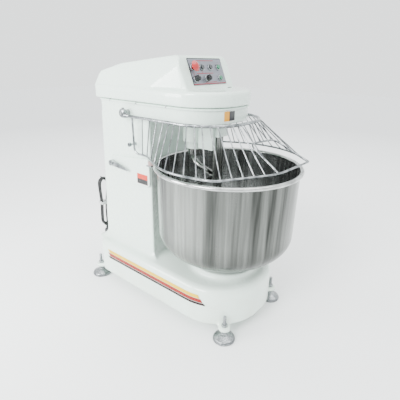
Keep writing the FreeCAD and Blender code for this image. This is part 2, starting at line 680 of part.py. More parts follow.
def build_bowl():
    outer = bowl_outline(0, RIM_Z).revolve(V(0, 0, 0), Z, 360)
    inner = bowl_outline(BOWL_WALL, RIM_Z + 20).revolve(V(0, 0, 0), Z, 360)
    bead = Part.makeTorus(BOWL_RIM_R + BEAD_R - BOWL_WALL, BEAD_R, V(0, 0, RIM_Z))
    bowl = outer.cut(inner).fuse(bead)
    circle = [ring_point(k * 360.0 / BOWL_BOLTS, BOLT_CIRCLE_R) for k in range(BOWL_BOLTS)]
    for p in circle:
        bowl = bowl.cut(disc(BOLT_R, p.x, p.y, BOWL_FLOOR - 5, BOWL_FLOOR + 20))
    save("bowl", bowl)

    low = DECK_TOP + TABLE_GAP
    table = disc(TABLE_R, 0, 0, low, BOWL_FLOOR + 12).cut(outer)
    table = table.cut(disc(SHAFT_R, 0, 0, low - 1, BOWL_FLOOR + 1))
    bolts = []
    seat = dish_height(BOLT_CIRCLE_R + BOLT_HEAD_R, BOWL_WALL) + 0.1
    for p in circle:
        table = table.cut(disc(BOLT_R, p.x, p.y, low - 1, BOWL_FLOOR + 20))
        bolts.append(disc(BOLT_R, p.x, p.y, low + 2, seat).fuse(
            disc(BOLT_HEAD_R, p.x, p.y, seat, seat + HEAD_H)))
    save("bowl_turntable", Part.makeCompound([table] + bolts))
    save("bowl_shaft", disc(SHAFT_R, 0, 0, BOWL_PULLEY_Z - 6, BOWL_FLOOR))
    save("bowl_pulley", pulley(0, 0, BOWL_PULLEY_R, SHAFT_R, BOWL_PULLEY_Z))


def pulley(x, y, r, bore, z):
    """A web pulley with a hub and a rim."""
    body = tube(r, bore, x, y, z, z + PULLEY_W)
    if r > 100:
        body = body.cut(tube(r - 14, 42, x, y, z + 18, z + PULLEY_W + 1))
        body = body.cut(tube(r - 14, 42, x, y, z - 1, z + 8))
    return body


def build_bowl_bearings():
    deck = disc(DECK_R, 0, 0, BASE_TOP, DECK_TOP)
    edge = [e for e in deck.Edges if abs(e.BoundBox.ZMin - DECK_TOP) < 1e-3 and e.BoundBox.XLength > 200]
    deck = deck.makeFillet(10.0, edge)
    low = BOWL_PULLEY_Z + PULLEY_W + 8
    housing = deck.fuse(disc(BEARING_R + 12, 0, 0, low, BASE_TOP + 1))
    housing = housing.cut(disc(SHAFT_R + 3, 0, 0, low - 1, DECK_TOP + 1))
    seats = [low, DECK_TOP - BEARING_W]
    bearings = []
    for z in seats:
        housing = housing.cut(disc(BEARING_R, 0, 0, z, z + BEARING_W))
        bearings.append(tube(BEARING_R, SHAFT_R + RUN_GAP, 0, 0, z, z + BEARING_W))
    save("bowl_bearing_housing", housing)
    BEARINGS.extend(bearings)


def motor(r, y, z0, z1, flange_z, fins):
    """A round electric motor with cooling ribs and a square flange."""
    body = disc(r, 0, y, z0, z1)
    for k in range(fins):
        a = math.radians(360.0 / fins * k)
        rib = box(r - 2, r + 7, -2, 2, z0 + 20, z1 - 20)
        rib.rotate(V(0, 0, 0), Z, math.degrees(a))
        rib.translate(V(0, y, 0))
        body = body.fuse(rib)
    flange = plan(r, y - r, y + r, 14, 14, flange_z, flange_z + 12)
    body = body.fuse(flange)
    return body.cut(disc(MOTOR_SHAFT_R + RUN_GAP, 0, y, z0 - 1 if flange_z == z0 else z0 + 40,
                         z1 + 1 if flange_z != z0 else z1 - 40))


def build_drives():
    z0 = BASE_TOP
    save("bowl_motor", motor(BOWL_MOTOR_R, BOWL_MOTOR_Y, z0, z0 + BOWL_MOTOR_H, z0, 16))
    shaft = disc(MOTOR_SHAFT_R, 0, BOWL_MOTOR_Y, BOWL_PULLEY_Z - 4, z0 + BOWL_MOTOR_H - 45)
    wheel = pulley(0, BOWL_MOTOR_Y, BOWL_MOTOR_PULLEY_R, MOTOR_SHAFT_R, BOWL_PULLEY_Z)
    save("bowl_motor_shaft_and_pulley", Part.makeCompound([shaft, wheel]))
    save("bowl_belt", belt(0, 0, BOWL_PULLEY_R, BOWL_MOTOR_Y, BOWL_MOTOR_PULLEY_R,
                           BOWL_PULLEY_Z + 6, BOWL_PULLEY_Z + PULLEY_W - 6, BELT_T, BELT_GAP))
    z1 = HEAD_LOW
    low = z1 - SPIRAL_MOTOR_H
    save("spiral_motor", motor(SPIRAL_MOTOR_R, SPIRAL_MOTOR_Y, low, z1, z1 - 12, 20))
    top = SPINDLE_PULLEY_Z + PULLEY_W + 4
    shaft = disc(MOTOR_SHAFT_R, 0, SPIRAL_MOTOR_Y, low + 45, top)
    wheel = pulley(0, SPIRAL_MOTOR_Y, SPIRAL_MOTOR_PULLEY_R, MOTOR_SHAFT_R, SPINDLE_PULLEY_Z)
    save("spiral_motor_shaft_and_pulley", Part.makeCompound([shaft, wheel]))
    save("spindle_pulley", pulley(0, TOOL_Y, SPINDLE_PULLEY_R, SHAFT_R, SPINDLE_PULLEY_Z))
    save("spiral_belt", belt(0, TOOL_Y, SPINDLE_PULLEY_R, SPIRAL_MOTOR_Y, SPIRAL_MOTOR_PULLEY_R,
                             SPINDLE_PULLEY_Z + 6, SPINDLE_PULLEY_Z + PULLEY_W - 6, BELT_T, BELT_GAP))
    SWITCHGEAR.append(box(-110, 110, 672, 672 + 34, 340, 620))


# ---------------------------------------------------------------- spiral tool and breaker bar
TOOL_R = BOWL_LOW_R - BOWL_WALL - TOOL_Y - TOOL_ROD_R - TOOL_GAP
BAR_Y = TOOL_Y - TOOL_R - TOOL_ROD_R - BAR_GAP - BAR_D / 2


def build_spindle():
    top = HEAD_LOW + HEAD_FLOOR
    housing = disc(HOUSING_R, 0, TOOL_Y, HOUSING_STEP_Z, HEAD_LOW)
    housing = housing.fuse(disc(HOUSING_LOW_R, 0, TOOL_Y, HOUSING_LOW_Z, HOUSING_STEP_Z))
    housing = housing.fuse(disc(HOUSING_R - 2, 0, TOOL_Y, HEAD_LOW, top))
    housing = housing.fuse(disc(HOUSING_R + 26, 0, TOOL_Y, top, top + 8))
    housing = housing.cut(disc(BEARING_R, 0, TOOL_Y, HOUSING_LOW_Z + SEAL_H, top + 9))
    housing = housing.cut(disc(SHAFT_R + 1, 0, TOOL_Y, HOUSING_LOW_Z - 1, HOUSING_LOW_Z + SEAL_H + 1))
    save("spindle_housing", housing)
    seats = [HOUSING_LOW_Z + SEAL_H, top - BEARING_W]
    bearings = [tube(BEARING_R, SHAFT_R + RUN_GAP, 0, TOOL_Y, z, z + BEARING_W) for z in seats]
    BEARINGS.extend(bearings)
    hub_top = HOUSING_LOW_Z - 2
    hub_low = hub_top - 34
    save("spindle", disc(SHAFT_R, 0, TOOL_Y, hub_low + 12, SPINDLE_PULLEY_Z + PULLEY_W))

    keep_off = BOWL_WALL + TOOL_GAP + TOOL_ROD_R
    z_end = BOWL_FLOOR + keep_off + 44
    z_start = hub_low + 6
    points = []
    steps = 30
    for k in range(steps + 1):
        t = k / steps
        z = z_start + (z_end - z_start) * (t ** 0.92)
        reach = TOOL_R * min(1.0, 1 - (1 - min(t / 0.2, 1.0)) ** 2)
        if z < DISH_Z:
            reach = min(reach, dish_radius(z, keep_off) - TOOL_Y)
        a = math.radians(200) + 2 * math.pi * TOOL_TURNS * t
        points.append(V(reach * math.cos(a), TOOL_Y + reach * math.sin(a), z))
    curve = Part.BSplineCurve()
    curve.interpolate(points)
    path = Part.Wire(curve.toShape())
    first = curve.tangent(curve.FirstParameter)[0]
    section = Part.Wire(Part.makeCircle(TOOL_ROD_R, points[0], first))
    hook = path.makePipeShell([section], True, True)
    hub = disc(TOOL_HUB_R, 0, TOOL_Y, hub_low, hub_top).cut(
        disc(SHAFT_R, 0, TOOL_Y, hub_low + 12, hub_top + 1))
    tool = hub.fuse(hook).fuse(Part.makeSphere(TOOL_ROD_R, points[-1]))
    tool = tool.cut(disc(SHAFT_R, 0, TOOL_Y, hub_low + 12, hub_top + 1))
    save("spiral_tool", tool)


def build_breaker():
    low = BOWL_FLOOR + BOWL_WALL + BAR_FLOOR_GAP
    top = HEAD_LOW - 14
    bar = box(-BAR_W / 2, BAR_W / 2, BAR_Y - BAR_D / 2, BAR_Y + BAR_D / 2, low, top)
    tall = [e for e in bar.Edges if e.BoundBox.ZLength > 100]
    bar = bar.makeFillet(8.0, tall)
    block = box(-BAR_W / 2 - 12, BAR_W / 2 + 12, BAR_Y - BAR_D / 2 - 12, BAR_Y + BAR_D / 2 + 12,
                BAR_BLOCK_LOW, HEAD_LOW)
    web_y = TOOL_Y - HOUSING_R - 4
    arm = box(-BAR_W / 2 - 30, -BAR_W / 2 - 4, BAR_Y - 6, web_y, HOUSING_STEP_Z - 20, HEAD_LOW)
    block = block.fuse(arm).cut(bar)
    bolts = []
    for z in (BAR_BLOCK_LOW + 18, HEAD_LOW - 28):
        x = BAR_W / 2 + 12
        hole = cyl(5.0, V(-5, BAR_Y, z), V(x, BAR_Y, z))
        bar = bar.cut(hole)
        block = block.cut(hole)
        bolts.append(hole.fuse(cyl(9.0, V(x, BAR_Y, z), V(x + 6, BAR_Y, z))))
    save("breaker_bar", bar)
    save("breaker_bracket", block)
    FASTENERS.extend(bolts)


# ---------------------------------------------------------------- guard
def ring_point(degrees, r=RING_R):
    a = math.radians(degrees)
    return V(r * math.cos(a), r * math.sin(a), RING_Z)


CHORD_LEFT = V(-72, 54 - RING_R, RING_Z)
CHORD_RIGHT = V(206, 48 - RING_R, RING_Z)
BEND_LEFT = V(30 - RING_R, -165, RING_Z)
LINE_LEFT = ring_point(187)


def guard_ring():
    """The lower rod: up to the top rod at the rear, round the bowl, with a flat front."""
    half, n = GUARD_HALF, []
    panel_low = ring_point(150).y + (ring_point(150).x + half) * -math.sqrt(3)
    n += [(V(-half, PANEL_REAR + 6, GUARD_TOP_Z), 0), (V(-half, PANEL_REAR, RING_Z), 30), (V(-half, panel_low, RING_Z), 90)]
    step = 12.0
    corner_r = RING_R / math.cos(math.radians(step / 2))
    for k in range(3):
        n.append((ring_point(150 + step * (k + 0.5), corner_r), RING_R * 0.98))
    n += [(BEND_LEFT, 100), (CHORD_LEFT, 240), (CHORD_RIGHT, 22)]
    for k in range(6):
        n.append((ring_point(-42 + step * (k + 0.5), corner_r), RING_R * 0.98))
    n += [(V(half, panel_low, RING_Z), 90), (V(half, PANEL_REAR, RING_Z), 30),
          (V(half, PANEL_REAR + 6, GUARD_TOP_Z), 0)]
    return rod(n, RING_ROD_R)


def top_point(s, start_y=190.0):
    """A place on the left half of the top rod, s along it from the side towards the front."""
    straight = start_y - (GUARD_FRONT + GUARD_CORNER_R)
    if s < straight:
        return V(-GUARD_HALF, start_y - s, GUARD_TOP_Z)
    a = (s - straight) / GUARD_CORNER_R
    if a < math.pi / 2:
        return V(-GUARD_HALF + GUARD_CORNER_R * (1 - math.cos(a)),
                 GUARD_FRONT + GUARD_CORNER_R * (1 - math.sin(a)), GUARD_TOP_Z)
    over = s - straight - GUARD_CORNER_R * math.pi / 2
    return V(-GUARD_HALF + GUARD_CORNER_R + over, GUARD_FRONT, GUARD_TOP_Z)


def flip(p):
    return V(-p.x, p.y, p.z)


def between(a, b, t):
    return a + (b - a) * t


LOOP = [CHORD_LEFT + V(6, 6, 4), V(-28, GUARD_FRONT - 32, RING_Z + 94),
        V(165, GUARD_FRONT - 48, RING_Z + 86), CHORD_RIGHT + V(-8, 8, 4)]


def build_guard():
    half = GUARD_HALF
    clamp_y0 = PIVOT_Y - 22
    top = rod([(V(-half, clamp_y0, GUARD_TOP_Z), 0), (V(-half, GUARD_FRONT, GUARD_TOP_Z), GUARD_CORNER_R),
               (V(half, GUARD_FRONT, GUARD_TOP_Z), GUARD_CORNER_R), (V(half, clamp_y0, GUARD_TOP_Z), 0)],
              TOP_ROD_R)
    ring = guard_ring().cut(top)
    loop = rod([(LOOP[0], 0), (LOOP[1], 45), (LOOP[2], 45), (LOOP[3], 0)], LOOP_ROD_R).cut(ring)
    left_ends = [ring_point(a) for a in (150, 159, 168, 177, 186)]
    left_ends += [between(LINE_LEFT, BEND_LEFT, t) for t in (0.42, 0.74)]
    left_ends += [between(BEND_LEFT, CHORD_LEFT, t) for t in (0.11, 0.28, 0.45, 0.62, 0.79)]
    right_ends = [ring_point(180 - a) for a in range(150, 223, 9)]
    spacing = 33.5
    lines = [(top_point(spacing * k), end) for k, end in enumerate(left_ends)]
    lines += [(flip(top_point(spacing * k)), end) for k, end in enumerate(right_ends)]
    across = LOOP[2] - LOOP[1]
    for k in range(5):
        end = LOOP[1] + across * (0.24 + 0.16 * k)
        lines.append((V(end.x * 0.75 - 8, GUARD_FRONT, GUARD_TOP_Z), end))
    lines.append((V(-54, GUARD_FRONT, GUARD_TOP_Z), between(LOOP[0], LOOP[1], 0.45)))
    wires = [trim(cyl(WIRE_R, a, b), (top, ring, loop)) for a, b in lines]
    side = []
    flare = between(ring_point(150), V(-half, 304, RING_Z), 0.5)
    for y0, low in ((232.0, flare), (280.0, V(-half - 3, 304, RING_Z)), (330.0, V(-half, 338, RING_Z))):
        wire = trim(cyl(WIRE_R, V(-half, y0, GUARD_TOP_Z), low), (top, ring))
        side += [wire, wire.mirror(V(0, 0, 0), X)]
    save("guard_top_rod", top)
    save("guard_lower_rod", ring)
    save("guard_feed_frame", loop)
    save("guard_wires", Part.makeCompound(wires + side))

    x0 = -half - CLAMP_T / 2
    clamp = box(x0, x0 + CLAMP_T, clamp_y0, PIVOT_Y + 24, GUARD_TOP_Z - 13, PIVOT_Z + 22)
    corner = [e for e in clamp.Edges if e.BoundBox.XLength > 20 and e.BoundBox.YMin > PIVOT_Y]
    clamp = clamp.makeFillet(14.0, corner)
    pin = cyl(PIN_R, V(x0 - 3, PIVOT_Y, PIVOT_Z), V(-HEAD_HALF + 26, PIVOT_Y, PIVOT_Z))
    screw = disc(4.0, -half, PIVOT_Y, PIVOT_Z + 4, PIVOT_Z + 22).fuse(
        disc(7.0, -half, PIVOT_Y, PIVOT_Z + 22, PIVOT_Z + 27)).cut(pin)
    clamp = clamp.cut(pin).cut(screw)
    bush_out = -half + CLAMP_T / 2 + 1
    bush = cyl(BUSH_R, V(bush_out, PIVOT_Y, PIVOT_Z), V(-HEAD_HALF + 22, PIVOT_Y, PIVOT_Z))
    bush = bush.fuse(cyl(BUSH_R + 4, V(bush_out, PIVOT_Y, PIVOT_Z), V(-HEAD_HALF, PIVOT_Y, PIVOT_Z)))
    bush = bush.cut(cyl(PIN_R + RUN_GAP, V(-400, PIVOT_Y, PIVOT_Z), V(0, PIVOT_Y, PIVOT_Z)))
    save("guard_clamps", Part.makeCompound(both(clamp).Solids + both(screw).Solids))
    save("guard_pivot_pins", both(pin))
    BEARINGS.extend(both(bush).Solids)
    switch = box(-HEAD_HALF + 28, -HEAD_HALF + 58, PIVOT_Y - 18, PIVOT_Y + 22,
                 HEAD_LOW + HEAD_FLOOR, HEAD_LOW + HEAD_FLOOR + 40)
    SWITCHGEAR.append(switch)
    x = -COL_HALF
    y, z = PANEL_REAR + 28, RING_Z + 38
    stop = cyl(9.0, V(x, y, z), V(x - 8, y, z)).fuse(cyl(5.0, V(x - 8, y, z), V(x - 32, y, z))).fuse(
        cyl(10.0, V(x - 32, y, z), V(x - 44, y, z)))
    PINS.extend(both(stop).Solids)


def trim(wire, others):
    """The piece of a wire that is left between the rods it is welded to."""
    for other in others:
        wire = wire.cut(other)
    return max(wire.Solids, key=lambda s: s.Volume)


# ---------------------------------------------------------------- rollers
def build_rollers():
    r = RIM_OUT + ROLLER_GAP + ROLLER_R
    x = -(COL_HALF + ROLLER_OUT)
    y = math.sqrt(r ** 2 - x ** 2)
    z0 = RIM_Z - ROLLER_H / 2
    bracket = box(x - 12, -COL_HALF, y - 10, SIDE_FRONT, z0 - 8, z0 - 2)
    bracket = bracket.cut(column_solid(0))
    bracket = bracket.fuse(disc(5.0, x, y, z0 - 2, z0 + ROLLER_H + 3))
    save("roller_brackets", both(bracket))
    for name, sx in (("left", 1), ("right", -1)):
        roller = tube(ROLLER_R, 5.0 + RUN_GAP, sx * x, y, z0, z0 + ROLLER_H)
        save("guide_roller_" + name, roller)


# ---------------------------------------------------------------- cord
# The free stretch runs from the gland to the inner right-hand strand of the hank.
CORD_ROUTE = [V(-20, 752, 690), V(-21, 795, 687), V(-40, 832, 676), V(-78, 846, 658),
              V(-108, 836, 634), V(-121, 810, 598), V(-125, 780, 553), V(-133, 765, 500)]


def hank_shape():
    half = HANK_W / 2
    y0 = HANK_Y - HANK_D / 2
    pts = [(V(HANK_X - half, y0, HANK_LOW), half * 0.98), (V(HANK_X - half, y0, HANK_TOP), half * 0.98),
           (V(HANK_X + half, y0, HANK_TOP), half * 0.98), (V(HANK_X + half, y0, HANK_LOW), half * 0.98)]
    return slab(pts, V(0, HANK_D, 0))


def build_cord():
    out = rear_cylinder(GLAND_R + 5, GLAND_X, GLAND_Z, 2, 10).fuse(
        rear_cylinder(GLAND_R, GLAND_X, GLAND_Z, -8, 2)).fuse(
        rear_cylinder(GLAND_R - 1, GLAND_X, GLAND_Z, 10, 22))
    end = COL_REAR + 22 - (GLAND_Z - BASE_TOP) * math.sin(math.radians(COL_LEAN))
    route = [V(GLAND_X, end, GLAND_Z)] + CORD_ROUTE[1:]
    corners = [(route[0], 0)]
    for a, b, c in zip(route, route[1:], route[2:]):
        turn = (b - a).getAngle(c - b)
        run = min((b - a).Length, (c - b).Length)
        r = 0.45 * run / math.tan(turn / 2)
        print("cord bend radius %.0f mm, turn %.0f degrees, run %.0f" % (r, math.degrees(turn), run))
        corners.append((b, r))
    corners.append((route[-1], 0))
    cord = rod(corners, CORD_R)
    length = rounded(corners).Length
    print("cord tube volume / (section * length) = %.3f" % (cord.Volume / (math.pi * CORD_R ** 2 * length)))
    hank = hank_shape()
    hook = rear_cylinder(HOOK_R, HANK_X, HOOK_Z, -COL_WALL, 66)
    save("mains_cord", cord.cut(hank).cut(out))
    tie_z = 0.5 * (HANK_LOW + HANK_TOP)
    half = HANK_W / 2
    tie = box(HANK_X - half - 1.5, HANK_X + half + 1.5, HANK_Y - HANK_D / 2 - 1.5,
              HANK_Y + HANK_D / 2 + 1.5, tie_z - 7, tie_z + 7)
    hank = hank.cut(hook)
    save("cord_tie", tie.cut(hank))
    hook = hook.fuse(rear_cylinder(9.0, HANK_X, HOOK_Z, 66, 70))
    save("cord_gland_and_hook", Part.makeCompound([out.cut(cord), hook]))
    save("cord_hank", hank)
    x, y = PLUG_X, PLUG_Y
    plug = disc(PLUG_NECK_R, x, y, HANK_LOW - 34, HANK_LOW + 6).cut(hank_shape())
    plug = plug.fuse(disc(PLUG_R, x, y, HANK_LOW - 84, HANK_LOW - 34))
    for dx in (-PIN_PITCH / 2, PIN_PITCH / 2):
        plug = plug.fuse(disc(PLUG_PIN_R, x + dx, y, HANK_LOW - 103, HANK_LOW - 84))
    save("plug", plug)


def build_groups():
    save("fasteners", Part.makeCompound(FASTENERS))
    save("side_pins", Part.makeCompound(PINS))
    save("bearings_and_bushes", Part.makeCompound(BEARINGS))
    save("switchgear", Part.makeCompound(SWITCHGEAR))


def main():
    os.makedirs("parts", exist_ok=True)
    build_base()
    build_feet()
    build_stripes()
    build_column()
    build_side_cover()
    build_head()
    build_lid()
    build_controls()
    build_badge()
    build_bowl()
    build_bowl_bearings()
    build_drives()
    build_spindle()
    build_breaker()
    build_guard()
    build_rollers()
    build_cord()
    build_groups()


main()
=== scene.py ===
"""Spiral dough mixer: painted body, steel bowl, spiral, wire guard, controls and mains cord."""

import math

import bmesh
import bpy
from mathutils import Matrix, Vector


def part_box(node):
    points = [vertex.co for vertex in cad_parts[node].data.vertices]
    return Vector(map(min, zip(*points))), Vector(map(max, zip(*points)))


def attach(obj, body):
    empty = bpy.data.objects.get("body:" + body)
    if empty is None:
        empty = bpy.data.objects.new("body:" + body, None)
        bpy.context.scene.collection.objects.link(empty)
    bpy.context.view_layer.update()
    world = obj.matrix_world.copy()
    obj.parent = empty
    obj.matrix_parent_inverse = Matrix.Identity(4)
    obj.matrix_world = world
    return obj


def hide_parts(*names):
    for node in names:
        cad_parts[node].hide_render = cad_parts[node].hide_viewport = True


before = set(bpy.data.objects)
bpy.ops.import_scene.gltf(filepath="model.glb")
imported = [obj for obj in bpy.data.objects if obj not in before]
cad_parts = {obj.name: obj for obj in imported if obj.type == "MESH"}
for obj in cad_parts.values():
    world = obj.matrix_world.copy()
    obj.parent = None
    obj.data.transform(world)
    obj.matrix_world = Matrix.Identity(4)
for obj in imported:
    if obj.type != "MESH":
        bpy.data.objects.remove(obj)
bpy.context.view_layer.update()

MM = 0.001
UP = Vector((0, 0, 1))
BOWL_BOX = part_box("bowl")
AXIS_Y = (BOWL_BOX[0].y + BOWL_BOX[1].y) / 2
REAR_LEAN = math.radians(2.5)  # of the column's rear wall, and of all that is fixed to it


def at(x, y, z):
    """A place in millimetres from the bowl's axis and the floor, as a point in the row frame."""
    return Vector((x * MM, y * MM + AXIS_Y, z * MM))


# ------ camera
CAMERA_PLACE = (-1.36706, -1.18411, 1.27)
CAMERA_TURNS = (50.43, 21.51, -0.96)  # yaw from +Y, pitch down and roll, in degrees
CAMERA_LENS = 32.37


def place_camera():
    """Looks down over the machine's front left corner from the height of its head."""
    yaw, pitch, roll = (math.radians(a) for a in CAMERA_TURNS)
    level = Vector((math.sin(yaw), math.cos(yaw), 0))
    right = Vector((math.cos(yaw), -math.sin(yaw), 0))
    ahead = level * math.cos(pitch) - UP * math.sin(pitch)
    down = -level * math.sin(pitch) - UP * math.cos(pitch)
    across = right * math.cos(roll) + down * math.sin(roll)
    below = down * math.cos(roll) - right * math.sin(roll)
    data = bpy.data.cameras.new("camera")
    data.lens = CAMERA_LENS
    data.clip_start = 0.05
    camera = add_piece("camera", data)
    turn = Matrix((across, -below, -ahead)).transposed().to_4x4()
    camera.matrix_world = Matrix.Translation(CAMERA_PLACE) @ turn
    bpy.context.scene.camera = camera


# ------ nodes and finishes
class Wire:
    """An output socket. Python's operators on it add Math nodes."""

    def __init__(self, graph, socket):
        self.graph = graph
        self.socket = socket

    def __add__(self, other):
        return self.graph.math("ADD", self, other)

    def __sub__(self, other):
        return self.graph.math("SUBTRACT", self, other)

    def __rsub__(self, other):
        return self.graph.math("SUBTRACT", other, self)

    def __mul__(self, other):
        return self.graph.math("MULTIPLY", self, other)

    __radd__ = __add__
    __rmul__ = __mul__

    def rises(self, low, high):
        """0 below low, 1 above high, and even between them; falls where low is above high."""
        return self.graph.node("ShaderNodeMapRange", {}, {"Value": self, "From Min": low, "From Max": high})


class Graph:
    """A node tree being written: one method makes any node and hands back one of its outputs."""

    def __init__(self, tree):
        self.tree = tree

    def node(self, kind, settings, sockets, out=0):
        made = self.tree.nodes.new(kind)
        for key, value in settings.items():
            setattr(made, key, value)
        for key, value in sockets.items():
            if isinstance(value, Wire):
                self.tree.links.new(value.socket, made.inputs[key])
            else:
                made.inputs[key].default_value = value
        return Wire(self, made.outputs[out])

    def math(self, operation, *values):
        return self.node("ShaderNodeMath", {"operation": operation}, dict(enumerate(values)))


def tint(code):
    """A linear colour from the way it reads on a screen, such as e8ece6."""
    parts = [int(code[k:k + 2], 16) / 255 for k in (0, 2, 4)]
    return tuple(c / 12.92 if c < 0.04 else ((c + 0.055) / 1.055) ** 2.4 for c in parts) + (1.0,)


class Finish(Graph):
    """A material: what is the same all over is set on the shader, and what changes is wired to it."""

    def __init__(self, name, uniform):
        self.material = bpy.data.materials.new(name)
        self.material.use_nodes = True
        super().__init__(self.material.node_tree)
        self.shader = self.tree.nodes["Principled BSDF"]
        for key, value in uniform.items():
            self.shader.inputs[key].default_value = value
        self.place = self.node("ShaderNodeTexCoord", {}, {}, "Object")
        split = self.node("ShaderNodeSeparateXYZ", {}, {"Vector": self.place})
        self.x, self.y, self.z = (Wire(self, split.socket.node.outputs[k]) for k in range(3))

    def noise(self, scale, detail=2.0, stretch=(1, 1, 1), place=None):
        where = self.node("ShaderNodeMapping", {}, {"Vector": place or self.place, "Scale": stretch})
        return self.node("ShaderNodeTexNoise", {}, {"Vector": where, "Scale": scale, "Detail": detail})

    def mix(self, factor, a, b):
        return self.node("ShaderNodeMix", {"data_type": "RGBA"}, {0: factor, 6: a, 7: b}, 2)

    def joined(self, x, y, z):
        return self.node("ShaderNodeCombineXYZ", {}, {0: x, 1: y, 2: z})

    def feed(self, key, wire):
        self.tree.links.new(wire.socket, self.shader.inputs[key])

    def bump(self, height, strength, depth):
        self.feed("Normal", self.node("ShaderNodeBump", {}, {
            "Height": height, "Strength": strength, "Distance": depth}))


def enamel():
    """Thick gloss paint on castings: faint orange peel, slightly warmer and duller low down."""
    f = Finish("gloss_enamel", {"IOR": 1.5, "Coat Weight": 0.8, "Coat Roughness": 0.05})
    clouds = f.noise(3.0, 3.0)
    fresh = f.mix(clouds, tint("d6e9e1"), tint("e2f1e6"))
    low = f.z.rises(0.34, 0.06) * f.noise(9.0, 4.0).rises(0.30, 0.75)
    f.feed("Base Color", f.mix(low * 0.5, fresh, tint("c6cbb9")))
    f.feed("Roughness", 0.20 + 0.16 * f.noise(40.0, 3.0) + 0.2 * low)
    f.bump(f.noise(260.0, 1.0), 0.10, 0.0006)
    return f.material


def spun_steel(name, middle, dark, light, unshaded_share_low):
    """Polished stainless sheet with painted reflections: upright light and dark bands round the axis are
    painted reflection, darkened low down by painted shade, with hairlines along the spin.
    """
    f = Finish(name, {"Metallic": 1.0, "Specular IOR Level": 0.5})
    x, y = f.x - middle.x, f.y - middle.y
    turn = f.math("ARCTAN2", y, x)
    ring = f.joined(f.math("COSINE", turn), f.math("SINE", turn), f.z * 0.12)
    # Painted reflections: wide and narrow light and dark bands painted into the colour round the axis.
    wide = f.noise(2.6, 2.0, place=ring).rises(0.36, 0.64)
    narrow = f.noise(15.0, 3.0, place=ring).rises(0.34, 0.68)
    bands = 0.6 * wide + 0.4 * narrow
    # Painted shade: the bands turn darker towards the bottom of the bowl, by the share given in the last
    # argument.
    upper = f.z.rises(0.36, 0.52)
    f.feed("Base Color", f.mix(bands * (unshaded_share_low + (1 - unshaded_share_low) * upper), tint(dark), tint(light)))
    lines = f.noise(900.0, 2.0, place=f.joined(turn * 0.004, turn * 0.003, f.z))
    f.feed("Roughness", 0.15 + 0.10 * narrow + 0.10 * lines)
    f.bump(lines, 0.05, 0.0004)
    return f.material


def polished(name, light, dark, rough, scale):
    """Plated or polished bar: bright, with a soft unevenness and fine handling marks."""
    f = Finish(name, {"Metallic": 1.0})
    patches = f.noise(scale, 4.0)
    marks = f.noise(scale * 9, 3.0, stretch=(1, 1, 0.25)).rises(0.45, 0.75)
    f.feed("Base Color", f.mix(patches.rises(0.3, 0.7), tint(dark), tint(light)))
    f.feed("Roughness", rough + 0.12 * patches + 0.10 * marks)
    f.bump(marks, 0.06, 0.0003)
    return f.material


def plated():
    """Zinc on turned feet and screws: faintly spangled, and darker close to the floor."""
    f = Finish("zinc_plate", {"Metallic": 1.0})
    cells = f.node("ShaderNodeTexVoronoi", {}, {"Vector": f.place, "Scale": 160.0}, "Distance")
    worn = f.noise(45.0, 4.0)
    tone = f.mix(cells.rises(0.1, 0.9), tint("6c7073"), tint("b4b8ba"))
    floor = f.z.rises(0.03, 0.004)
    f.feed("Base Color", f.mix(floor * worn.rises(0.35, 0.7) * 0.7, tone, tint("34363a")))
    f.feed("Roughness", 0.22 + 0.22 * worn)
    f.bump(worn, 0.10, 0.0004)
    return f.material


def moulding(name, colour, worn_colour, rough, grain, strength=0.15):
    """Moulded plastic or rubber with a fine grain and slightly paler rubbed patches."""
    f = Finish(name, {"IOR": 1.48})
    rubbed = f.noise(55.0, 4.0).rises(0.5, 0.8)
    f.feed("Base Color", f.mix(rubbed * 0.45, tint(colour), tint(worn_colour)))
    f.feed("Roughness", rough + 0.12 * rubbed)
    f.bump(f.noise(grain, 2.0), strength, 0.0003)
    return f.material


def glossy(name, colour, deep):
    """Clear-coated coloured plastic for push buttons."""
    f = Finish(name, {"IOR": 1.49, "Coat Weight": 0.8, "Coat Roughness": 0.04})
    swirl = f.noise(70.0, 3.0)
    f.feed("Base Color", f.mix(swirl, tint(deep), tint(colour)))
    f.feed("Roughness", 0.16 + 0.14 * swirl)
    f.bump(f.noise(420.0, 1.0), 0.05, 0.0002)
    return f.material


def painted_iron(name, colour, dusty):
    """Rough castings and motors inside: sand grain and patches of dust."""
    f = Finish(name, {"IOR": 1.45})
    grit = f.noise(330.0, 4.0)
    dust = f.noise(18.0, 4.0).rises(0.45, 0.8)
    f.feed("Base Color", f.mix(dust * 0.5, tint(colour), tint(dusty)))
    f.feed("Roughness", 0.45 + 0.3 * grit)
    f.bump(grit, 0.35, 0.0008)
    return f.material


def trim_bands():
    """Three printed bands on the base: yellow over red over dark brown, slightly faded in places."""
    f = Finish("trim_bands", {"IOR": 1.4})
    low, high = (corner.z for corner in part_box("side_stripes"))
    share = f.z.rises(low, high)
    lower_two = f.mix(share.rises(0.24, 0.25), tint("1e070b"), tint("8a0c06"))
    bands = f.mix(share.rises(0.63, 0.64), lower_two, tint("dcb400"))
    fade = f.noise(28.0, 3.0)
    f.feed("Base Color", f.mix(fade.rises(0.55, 0.8) * 0.12, bands, tint("d8d0c0")))
    f.feed("Roughness", 0.3 + 0.18 * fade)
    f.bump(f.noise(260.0, 1.0), 0.08, 0.0004)
    return f.material


def between(wire, low, high, margin, blur=0.0004):
    """1 where wire lies between low and high by more than margin, and 0 outside."""
    return wire.rises(low + margin, low + margin + blur) * wire.rises(high - margin, high - margin - blur)


